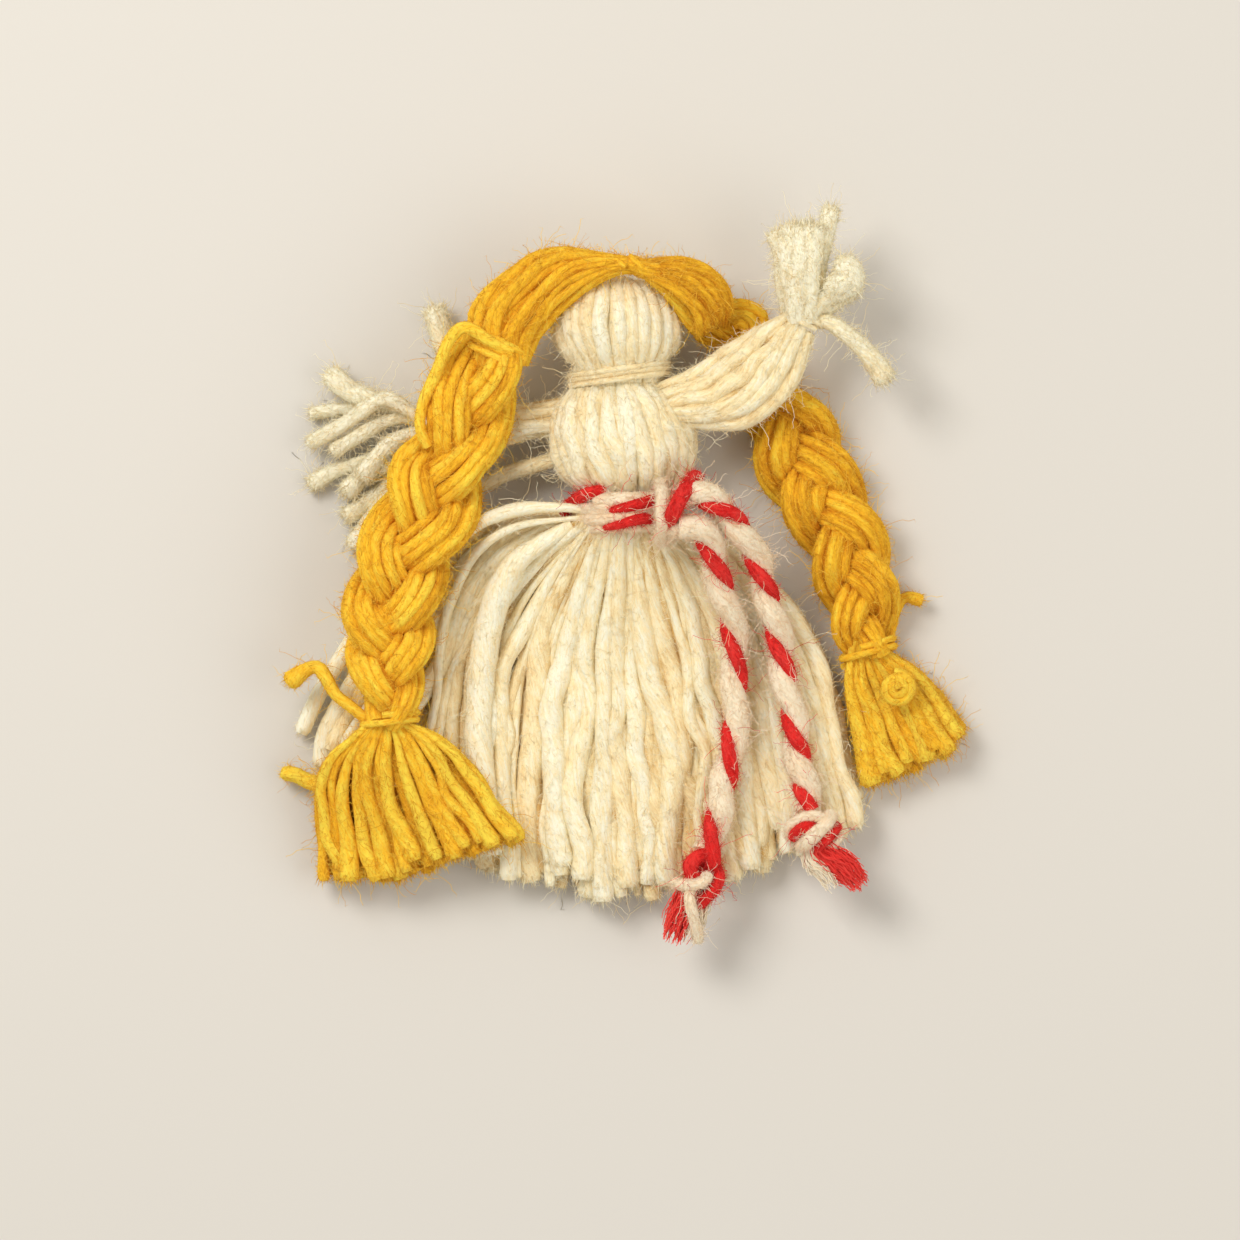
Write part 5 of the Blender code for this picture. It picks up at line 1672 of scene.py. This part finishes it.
@dataclass
class Braid:
    """A plait of three locks of yellow yarn, with its tie and the tie's loose end."""

    side: str
    edges: tuple[Sequence, Sequence]
    height: float
    half_high: float
    tie: Point
    heading: float
    end_line: Places
    bend: tuple[Point, Point]
    seed: int
    tone: float = 0.0
    # How many turns each lock has made by share of the length, and whether it passes over going out or in.
    progress: Table = ((0.0, 0.0), (1.0, 11 / 6))
    over: float = 1.0
    yarns: int = 11
    floor: bool = False
    extras: Sequence[Places] = ()
    swell: Table = ((0.0, 0.72), (0.06, 0.92), (0.15, 1.0), (0.80, 1.0), (0.93, 0.86), (1.0, 0.66))
    end_radius: Table = ((0.0, 0.7), (0.75, 0.85), (1.0, 1.25))

    def build(self, shop: Workshop) -> None:
        """Plaits the yarns, and winds the tie."""
        skein = Skein(f"{self.side}_plait_strands", self.seed)
        flat = Bundle.between(*self.edges, ((0.0, self.height), (1.0, self.height)), ((0.0, 1.0), (1.0, 1.0)))
        shares = shares_of(flat.centre)
        swell = read(self.swell, shares)
        half_wide = flat.half_width * (0.5 + 0.5 * swell)
        half_high = self.half_high * swell
        for lock in range(3):
            turn = math.tau * (read(self.progress, shares) + lock / 3)
            away = flat.side * (0.54 * half_wide * np.sin(turn))[:, None]
            line = flat.centre + away
            line = line + UP * (0.50 * self.over * half_high * np.sin(2 * turn))[:, None]
            _, lock_side, lock_over = axes(line)
            bundle = Bundle(line, lock_side, lock_over, half_wide * 0.50, half_high * 0.56)
            bundle.strands(
                skein, self.yarns, turn=50, first=40 * lock, thick=(0.36, 0.74), stray=0.2, floor=self.floor
            )
            bundle.strands(skein, 6, Spread.UNDER, thick=(0.36, 0.8), floor=self.floor)
            bundle.strands(skein, 2, Spread.FILL, thick=(0.5, 1.0), floor=self.floor)
        for points in self.extras:
            skein.lay(curved(points, 0.45), 0.74, tone=0.05)
        for yarn in skein.yarns:
            yarn.tone += self.tone
        bodies = ["head", f"{self.side}_braid"]
        shop.place(skein, GOLDEN, [f"{self.side}_braid"], bodies, self.bend, 8)
        wraps = Skein(f"{self.side}_plait_wraps", self.seed + 1)
        ahead = turned(ACROSS, self.heading)
        winding(wraps, np.array(self.tie), ahead, (2.9, 2.1), 0.46, 1.8, 0.9, first=75, tilt=0.5)
        end = curved(self.end_line, 0.4)
        wraps.lay(end, read(self.end_radius, np.linspace(0, 1, len(end))), (False, True))
        nodes = [f"{self.side}_braid_tie", f"{self.side}_braid_tie_end"]
        shop.place(wraps, GOLDEN, nodes, [f"{self.side}_braid"], sides=8, per_cut=70)


@dataclass
class Tassel:
    """The loose yarns below a braid's tie, which fan out between two edges and end cut."""

    side: str
    edges: tuple[Sequence, Sequence]
    longer: Table
    start_z: float
    end_z: Table
    counts: tuple[int, ...]
    bend: tuple[Point, Point]
    seed: int
    radius: Pair = (0.55, 0.98)
    fuzz: float = 13.5
    rise: float = 1.25
    tone: float = 0.0
    extras: Sequence[tuple[float, Places]] = ()

    def build(self, shop: Workshop) -> None:
        """Lays the yarns row over row, each row between the same edges."""
        skein = Skein(f"{self.side}_tassel_strands", self.seed)
        rng = skein.rng
        one, other = (evenly(curved([(*p, 0.0) for p in edge], 0.5), 40) for edge in self.edges)
        steps = np.linspace(0.0, 1.0, 44)
        for row, count in enumerate(self.counts):
            for k in range(count):
                share = float(np.clip((k + 0.5 + rng.normal(0, 0.2)) / count, 0.02, 0.98))
                long = float(read(self.longer, np.array(share))) * rng.uniform(0.93, 1.03)
                along = steps * long
                spread = share + wave(rng, steps, 0.022, 1.8) * eased(steps / 0.4)
                rows = np.clip(along, 0, 1) * 39
                left, right = (
                    np.stack([np.interp(rows, np.arange(40), edge[:, a])
                    for a in range(3)], axis=1) for edge in (one, other)
                )
                line = left + (right - left) * spread[:, None]
                past = along > 1.0
                if past.any():
                    ahead = unit(line[~past][-1] - line[~past][-5])
                    line[past] = line[~past][-1] + np.outer((along[past] - 1.0) * 17.0, ahead)
                end_z = float(read(self.end_z, np.array(share))) + row * self.rise + rng.normal(0, 0.12)
                first_z = self.start_z + 0.95 * (row - (len(self.counts) - 1) / 2)
                line[:, 2] = first_z + (end_z - first_z) * eased(steps * 1.15)
                way = unit(line[0] - line[4])
                line = np.concatenate(([line[0] + way * 2.4], line))
                size = rng.uniform(*self.radius)
                growth = ((0, 0.6), (0.12, 0.6), (0.35, 0.85), (0.6, 1.05), (1.0, 1.40))
                thick = size * read(growth, np.linspace(0, 1, len(line)))
                line[:, 2] = np.maximum(line[:, 2], thick)
                # Painted shade: the lower rows are darker and the upper ones lighter.
                skein.lay(line, thick, (False, True), slub=0.07, tone=rng.normal(0.10 * (row - 1), 0.10))
        for radius, points in self.extras:
            skein.lay(curved(points, 0.4), radius, (False, True), tone=0.12)
        for yarn in skein.yarns:
            yarn.tone += self.tone
        bodies = [f"{self.side}_braid", f"{self.side}_tassel"]
        shop.place(
            skein, GOLDEN, [f"{self.side}_tassel"], bodies, self.bend, 8, per_mm2=self.fuzz, per_cut=60
        )


@dataclass
class Studio:
    """The camera, the lamps and the pale floor."""

    centre: Pair = (-0.24, -21.8)
    width: float = 150.3
    distance: float = 2000.0
    middle_z: float = 7.0
    floor: str = "#D6D0C6"
    floor_half: float = 1.5
    floor_drop: float = 0.0002
    surround: float = 0.56

    def build(self) -> None:
        """Sets up the view straight down and the soft light."""
        scene = bpy.context.scene
        lens = bpy.data.cameras.new("camera")
        lens.sensor_width = 36.0
        lens.lens = 36.0 * self.distance / self.width
        lens.clip_start, lens.clip_end = 0.05, 20.0
        camera = shown("camera", lens)
        camera.location = (self.centre[0] * MM, self.centre[1] * MM, (self.distance + self.middle_z) * MM)
        scene.camera = camera
        scene.view_settings.view_transform = "Standard"
        self.lamp("key", (-0.28, 0.24, 0.50), 0.26, 2.4)
        self.lamp("fill", (0.40, -0.10, 0.42), 0.45, 1.0)
        self.world()
        self.ground()

    def lamp(self, name: str, place: Point, size: float, watts: float) -> None:
        """A square soft lamp that faces the doll."""
        light = bpy.data.lights.new(name, "AREA")
        light.size = size
        light.energy = watts
        lamp = shown(name, light)
        lamp.location = place
        target = np.array((self.centre[0] * MM, self.centre[1] * MM, 0.0))
        way = unit(np.array(place) - target)
        pitch, spin = math.acos(way[2]), math.atan2(way[1], way[0]) + math.pi / 2
        lamp.rotation_euler = (pitch, 0.0, spin)

    def world(self) -> None:
        """A dim even surround."""
        world = bpy.data.worlds.new("surround")
        world.use_nodes = True
        back = world.node_tree.nodes["Background"]
        back.inputs["Color"].default_value = linear("#FFFDF8")
        back.inputs["Strength"].default_value = self.surround
        bpy.context.scene.world = world

    def ground(self) -> None:
        """The floor, a plain matt sheet."""
        half = self.floor_half
        mesh = bpy.data.meshes.new("floor")
        corners = [(-half, -half, 0.0), (half, -half, 0.0), (half, half, 0.0), (-half, half, 0.0)]
        mesh.from_pydata(corners, [], [(0, 1, 2, 3)])
        floor = shown("floor", mesh)
        floor.location.z = -self.floor_drop
        sheet = bpy.data.materials.new("matt_paper_sheet")
        sheet.use_nodes = True
        shader = sheet.node_tree.nodes["Principled BSDF"]
        shader.inputs["Base Color"].default_value = linear(self.floor)
        shader.inputs["Roughness"].default_value = 0.9
        shader.inputs["Specular IOR Level"].default_value = 0.2
        mesh.materials.append(sheet)


LEFT_TAIL_ROUTE = (
    (6.9, -6.7, 15.6), (10.3, -7.2, 15.2), (14.1, -10.4, 13.0), (17.2, -17.2, 9.8), (19.2, -25.8, 7.6),
    (20.8, -34.5, 7.2), (22.1, -41.8, 7.2), (22.7, -45.0, 7.5),
)
RIGHT_TAIL_ROUTE = (
    (6.9, -10.3, 15.6), (9.8, -11.5, 14.8), (12.0, -17.2, 11.4), (13.5, -24.0, 8.5), (13.8, -31.0, 7.4),
    (13.1, -38.5, 7.2), (11.5, -45.5, 7.2), (10.3, -50.0, 7.5),
)
# Where the red ply comes to the front of each tail.
LEFT_TAIL_REDS = ((10.7, -9.9), (15.8, -17.0), (18.1, -26.1), (19.8, -36.4), (21.2, -44.2))
RIGHT_TAIL_REDS = ((10.3, -14.7), (12.5, -25.8), (12.5, -38.4), (10.3, -48.0))
# The yarns of the end knots: ply, radius and places.
LEFT_KNOT_LOOPS = (
    (0, 0.75, (
        (20.5, -48.2, 6.8), (20.4, -46.9, 8.0), (21.8, -45.9, 9.0), (23.6, -45.6, 9.4), (25.4, -46.8, 8.0)
    )),
    (1, 0.78, ((20.8, -48.1, 7.8), (21.5, -47.3, 9.1), (22.5, -46.8, 9.5), (23.3, -46.6, 9.0))),
    (0, 0.90, (
        (25.3, -45.5, 8.0), (24.6, -46.5, 9.6), (23.4, -47.7, 10.0), (22.2, -48.8, 9.2), (21.6, -49.4, 7.8)
    )),
    (1, 0.70, ((26.0, -46.8, 7.6), (25.4, -47.5, 9.0), (24.4, -48.6, 9.5), (23.4, -49.5, 8.8))),
    (0, 0.55, ((26.4, -48.0, 7.4), (25.9, -48.7, 8.4), (24.9, -49.6, 8.6))),
)
RIGHT_KNOT_LOOPS = (
    (1, 0.88, ((10.6, -46.4, 8.6), (10.9, -48.9, 9.3), (11.0, -50.8, 9.4), (11.0, -52.2, 8.6))),
    (1, 0.90, (
        (10.0, -50.3, 8.8), (9.0, -50.6, 9.5), (8.2, -51.7, 9.6), (8.8, -52.8, 9.2), (9.8, -52.9, 8.4)
    )),
    (0, 0.80, (
        (7.2, -54.6, 6.6), (6.6, -53.7, 8.0), (8.0, -53.9, 9.7), (9.7, -53.5, 10.1), (10.5, -52.5, 9.7)
    )),
    (1, 0.80, (
        (11.3, -51.6, 8.0), (11.7, -52.9, 8.9), (11.1, -54.4, 9.2), (10.0, -55.5, 9.0), (9.0, -56.6, 8.4)
    )),
    (0, 0.72, (
        (8.3, -54.2, 9.0), (8.2, -55.6, 9.9), (8.6, -57.6, 9.6), (9.0, -59.3, 8.8), (9.3, -60.8, 7.8)
    )),
)


# The strands of the hands: radius and places.
LEFT_HAND = (
    (1.15, ((20.7, 14.3, 9.6), (19.9, 18.2, 10.0), (19.5, 22.4, 10.2), (18.9, 25.3, 10.2))),
    (1.25, ((21.3, 14.3, 10.6), (21.1, 18.2, 11.4), (20.8, 22.4, 11.6), (20.4, 25.9, 11.2))),
    (1.20, ((21.8, 14.3, 9.6), (22.1, 18.2, 10.0), (22.3, 22.4, 10.4), (22.3, 26.2, 10.4))),
    (1.10, ((22.5, 14.3, 10.8), (22.8, 18.2, 11.6), (23.0, 22.4, 12.0), (23.1, 25.9, 11.8))),
    (0.78, ((22.5, 14.5, 10.2), (23.4, 18.2, 10.8), (24.2, 22.4, 11.2), (25.3, 28.2, 11.0))),
    (1.25, (
        (22.3, 14.8, 10.4), (24.2, 17.0, 10.8), (26.4, 17.9, 11.4), (27.9, 18.9, 12.0), (27.4, 20.6, 12.2),
        (26.2, 20.4, 11.8),
    )),
    (1.20, ((22.1, 14.8, 9.4), (24.5, 16.5, 9.4), (26.8, 17.9, 9.6), (28.2, 19.4, 9.8))),
    (1.10, ((21.7, 14.3, 10.8), (21.6, 18.2, 11.7), (21.6, 22.0, 12.0), (21.7, 25.6, 11.7))),
    (1.00, ((21.0, 14.3, 10.2), (20.5, 18.2, 11.2), (20.1, 21.8, 11.5), (19.7, 24.9, 11.2))),
    (1.45, ((25.4, 18.2, 11.0), (26.4, 19.0, 12.0), (27.2, 19.5, 12.1), (27.9, 20.3, 11.6))),
)
RIGHT_HAND = (
    (1.15, ((-23.9, 2.4, 2.6), (-26.4, 3.4, 3.0), (-30.2, 4.8, 3.0), (-33.2, 6.1, 2.6), (-35.7, 8.3, 2.2))),
    (0.80, ((-23.9, 2.7, 2.0), (-28.7, 3.9, 1.8), (-33.6, 3.8, 1.4), (-37.9, 3.3, 1.2))),
    (0.98, ((-23.3, 1.8, 4.0), (-25.9, 3.6, 4.6), (-29.0, 5.0, 4.6), (-33.9, 1.9, 3.6), (-38.0, -0.4, 2.4))),
    (0.95, ((-23.3, 1.9, 3.4), (-26.9, 2.7, 3.6), (-30.2, 1.6, 3.4), (-35.2, -1.3, 2.4))),
    (0.92, (
        (-23.9, 1.5, 2.0), (-27.5, -1.0, 1.8), (-30.9, -2.4, 1.8), (-34.7, -3.6, 1.4), (-38.0, -5.4, 1.2)
    )),
    (1.25, (
        (-23.5, 1.2, 4.0), (-26.4, 0.5, 4.2), (-28.8, -1.0, 3.8), (-30.3, -2.9, 3.4), (-31.5, -4.6, 3.0)
    )),
    (1.05, ((-23.8, 0.7, 2.6), (-27.5, -2.4, 2.6), (-31.5, -4.4, 2.4), (-33.6, -6.5, 2.0))),
    (1.05, ((-23.8, 0.5, 2.0), (-26.9, -3.6, 1.8), (-30.3, -6.9, 1.6), (-33.7, -9.4, 1.4))),
    (1.15, ((-23.5, 0.2, 3.0), (-26.3, -4.6, 2.8), (-29.6, -8.5, 2.4), (-32.6, -13.0, 1.6))),
)


def arms() -> tuple[Arm, Arm]:
    """The two arms, each with its own pose and hand."""
    left = Arm(
        "left",
        (
            ((2.2, 6.3), (4.8, 7.3), (8.2, 8.8), (12.1, 11.3), (15.9, 13.6), (19.6, 15.4)),
            (
                (3.4, 2.7), (6.1, 1.8), (9.5, 1.1), (14.1, 1.0), (17.5, 2.4), (20.6, 5.2), (22.2, 8.5),
                (23.4, 12.4),
            ),
        ),
        ((0.0, 8.6), (0.3, 9.5), (0.5, 10.0), (1.0, 10.0)),
        ((0.0, 2.2), (0.2, 2.4), (0.5, 2.6), (0.8, 2.2), (1.0, 1.6)), (22.0, 14.6, 10.0), 62.0,
        ((23.0, 14.3, 10.4), (25.0, 14.3, 10.4), (27.4, 12.6, 10.2), (29.8, 10.4, 9.8), (32.0, 7.2, 9.2)),
        LEFT_HAND, ((9.5, 4.9, 9.2), (14.0, 4.9, 9.8)), 71, wraps=1.6, felted=True,
    )
    right = Arm(
        "right",
        (
            ((-2.7, 6.0), (-7.5, 5.3), (-11.6, 4.6), (-14.8, 4.3), (-18.4, 4.1), (-21.5, 3.9), (-24.0, 3.6)),
            (
                (-2.7, 1.0), (-6.9, 0.5), (-9.9, 0.2), (-13.6, -0.7), (-17.2, -1.0), (-20.8, -0.4),
                (-24.0, 0.6),
            ),
        ),
        ((0.0, 6.6), (0.25, 5.2), (0.5, 3.9), (0.75, 3.0), (1.0, 2.9)),
        ((0.0, 2.2), (0.3, 2.4), (0.6, 2.3), (1.0, 1.6)), (-23.7, 2.0, 2.9), 180.0,
        ((-23.0, 3.4, 2.9), (-21.6, 6.4, 2.7), (-21.3, 9.7, 2.9), (-21.9, 12.7, 2.9), (-22.8, 16.2, 2.6)),
        RIGHT_HAND, ((-10.0, 1.7, 5.8), (-14.0, 1.5, 4.5)), 74, strands=10,
        extras=((
            (-3.9, -1.5, 6.0), (-7.5, -2.2, 5.0), (-11.2, -3.2, 4.0), (-14.2, -4.1, 3.2), (-16.5, -5.2, 2.8),
            (-18.6, -4.6, 2.4), (-20.8, -2.4, 2.2), (-23.3, 1.0, 2.4),
        ),),
    )
    return left, right


# The outlines of the braids, the doll's right side first, seen from above.
LEFT_BRAID_EDGES = (
    (
        (12.1, 12.4), (12.6, 9.5), (13.7, 5.8), (14.9, 1.5), (15.8, -2.4), (17.2, -6.3), (19.9, -9.9),
        (22.3, -14.1), (23.9, -18.9), (25.3, -23.5), (27.0, -26.0),
    ),
    (
        (17.0, 14.3), (19.1, 10.9), (21.9, 6.8), (25.2, 3.4), (27.4, -0.2), (29.1, -4.6), (31.3, -8.7),
        (32.7, -13.1), (33.7, -17.0), (33.7, -20.6), (33.0, -26.0),
    ),
)
RIGHT_BRAID_EDGES = (
    (
        (-18.7, 13.3), (-20.2, 12.6), (-22.1, 9.5), (-23.8, 5.8), (-24.6, 2.2), (-26.4, -0.7), (-28.4, -2.9),
        (-29.9, -7.0), (-31.3, -10.4), (-32.7, -14.5), (-33.6, -17.6), (-33.9, -21.8), (-33.7, -25.5),
        (-32.8, -29.1), (-31.8, -31.8), (-31.4, -34.4),
    ),
    (
        (-11.9, 10.2), (-11.6, 8.0), (-11.8, 5.3), (-12.5, 2.7), (-14.2, -0.5), (-15.8, -3.2), (-16.2, -6.1),
        (-17.1, -8.7), (-18.2, -11.2), (-20.0, -14.1), (-21.2, -17.2), (-22.1, -20.6), (-22.5, -24.2),
        (-23.1, -27.6), (-24.1, -31.3), (-24.9, -34.4),
    ),
)


def braids() -> tuple[Braid, Braid]:
    """The two braids, whose edges come from their outlines."""
    left = Braid(
        "left", LEFT_BRAID_EDGES, 3.5, 3.4, (29.9, -25.6, 3.3), -80.0,
        ((32.2, -25.2, 2.4), (32.9, -23.0, 2.2), (33.4, -20.8, 2.1), (34.4, -19.0, 2.1), (36.5, -19.5, 2.0)),
        ((16.3, 8.8, 3.5), (18.0, 5.4, 3.3)), 81, tone=-0.03, floor=True,
        extras=(
            ((11.0, 13.0, 5.4), (12.6, 15.9, 5.8), (14.9, 16.4, 6.0), (16.9, 15.3, 5.6), (17.2, 13.4, 5.0)),
            ((11.8, 12.6, 5.4), (13.0, 14.9, 6.2), (14.8, 15.3, 6.2), (16.0, 14.3, 6.0), (15.8, 12.4, 5.4)),
            ((12.6, 12.2, 5.2), (13.6, 14.0, 6.2), (14.6, 14.2, 6.2), (15.0, 13.1, 6.0), (14.6, 11.6, 5.4)),
        ),
        end_radius=((0.0, 0.34), (0.5, 0.42), (0.8, 0.72), (1.0, 0.88)),
    )
    right = Braid(
        "right", RIGHT_BRAID_EDGES, 9.6, 3.8, (-28.1, -34.0, 9.4), -90.0,
        (
            (-31.0, -33.8, 9.2), (-32.7, -32.4, 9.0), (-34.7, -30.8, 8.6), (-35.9, -28.7, 8.2),
            (-36.9, -27.5, 7.8), (-38.4, -27.9, 7.2), (-40.4, -29.4, 6.4),
        ),
        ((-16.9, 8.2, 9.6), (-18.4, 4.4, 9.6)), 84,
        progress=(
            (0.0, -0.033), (0.25, 0.25), (0.348, 0.417), (0.546, 0.75), (0.718, 1.083), (0.844, 1.417),
            (0.919, 1.583), (1.0, 1.8),
        ),
        over=-1.0, tone=0.05,
        extras=((
            (-13.3, 10.7, 11.6), (-16.0, 11.9, 12.6), (-17.9, 13.2, 12.8), (-19.4, 13.5, 12.8),
            (-21.0, 11.8, 12.6), (-22.4, 8.2, 12.4), (-24.0, 4.5, 12.2), (-24.4, 1.5, 12.0),
            (-23.5, -0.7, 11.2),
        ),),
    )
    return left, right


def coil(centre: Pair, outer: float, inner: float, turns: float, height: float) -> list[Point]:
    """The places of a yarn that curls up into a flat disc.

    Args:
        centre: the middle of the disc, seen from above.
        outer: the radius of its outermost turn.
        inner: the radius where it ends.
        turns: how many turns it makes.
        height: its lowest height.

    Returns:
        Its places, which rise a little to the middle.
    """
    places = []
    for step in np.linspace(0.0, 1.0, 20):
        reach = outer + (inner - outer) * step
        angle = math.radians(100.0) - math.tau * turns * step
        places.append((
            centre[0] + reach * math.cos(angle), centre[1] + reach * math.sin(angle), height + 0.7 * step
        ))
    return places


def tassels() -> tuple[Tassel, Tassel]:
    """The two tassels: the left one on the floor, the right one half on the skirt."""
    left = Tassel(
        "left",
        (
            ((27.6, -26.4), (27.1, -29.6), (27.9, -33.5), (29.1, -38.2), (30.2, -41.7)),
            ((32.7, -26.2), (35.5, -27.9), (37.9, -30.5), (39.8, -33.5), (41.7, -36.1)),
        ),
        ((0.0, 1.0), (0.3, 1.02), (0.6, 1.08), (0.85, 1.02), (1.0, 1.0)), 3.3, ((0.0, 1.1), (1.0, 1.1)),
        (10, 10, 9), ((29.7, -28.8, 3.3), (30.2, -31.5, 2.8)), 91, radius=(0.68, 1.1), rise=1.3, fuzz=20.0,
        extras=((0.64, coil((33.3, -30.1), 1.95, 0.25, 2.3, 6.5)),),
    )
    right = Tassel(
        "right",
        (
            ((-31.2, -34.6), (-33.6, -36.6), (-36.4, -39.4), (-37.6, -43.0), (-37.4, -47.3), (-36.6, -53.0)),
            ((-25.4, -34.6), (-22.1, -36.1), (-18.7, -39.3), (-16.0, -43.0), (-13.8, -45.8), (-12.1, -48.2)),
        ),
        ((0.0, 1.0), (0.2, 1.07), (0.35, 1.12), (0.5, 1.10), (0.75, 1.05), (1.0, 1.0)), 9.2,
        ((0.0, 2.0), (0.25, 2.8), (0.5, 5.0), (0.7, 6.4), (1.0, 6.9)), (15, 14, 13),
        ((-28.6, -37.2, 8.6), (-28.6, -40.0, 8.0)), 94,
        extras=((1.05, (
            (-30.6, -36.0, 8.0), (-34.0, -39.4, 5.6), (-37.0, -41.6, 3.4), (-39.6, -40.6, 2.4),
            (-41.2, -40.4, 1.8),
        )),),
    )
    return left, right


def main() -> None:
    """Builds the doll, part by part."""
    logging.basicConfig(level=logging.INFO, format="%(name)s: %(message)s")
    shop = Workshop()
    body = BodyHank()
    CordTail("left", LEFT_TAIL_ROUTE, LEFT_TAIL_REDS, 30.0, 1.0, 51, LEFT_KNOT_LOOPS).build(shop)
    CordTail(
        "right", RIGHT_TAIL_ROUTE, RIGHT_TAIL_REDS, -4.0, -1.0, 54, RIGHT_KNOT_LOOPS, (0.80, 6.8)
    ).build(shop)
    Studio().build()
    body.build_head(shop)
    body.build_bust(shop)
    body.build_neck_tie(shop)
    Skirt().build(shop)
    WaistCord().build(shop)
    Hair(body).build(shop)
    for arm in arms():
        arm.build(shop)
    for braid in braids():
        braid.build(shop)
    for tassel in tassels():
        tassel.build(shop)
    total = shop.finish()
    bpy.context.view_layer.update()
    log.info("%d pieces of strands, %d triangles", len(shop.spun), total)


if __name__ == "__main__":
    main()
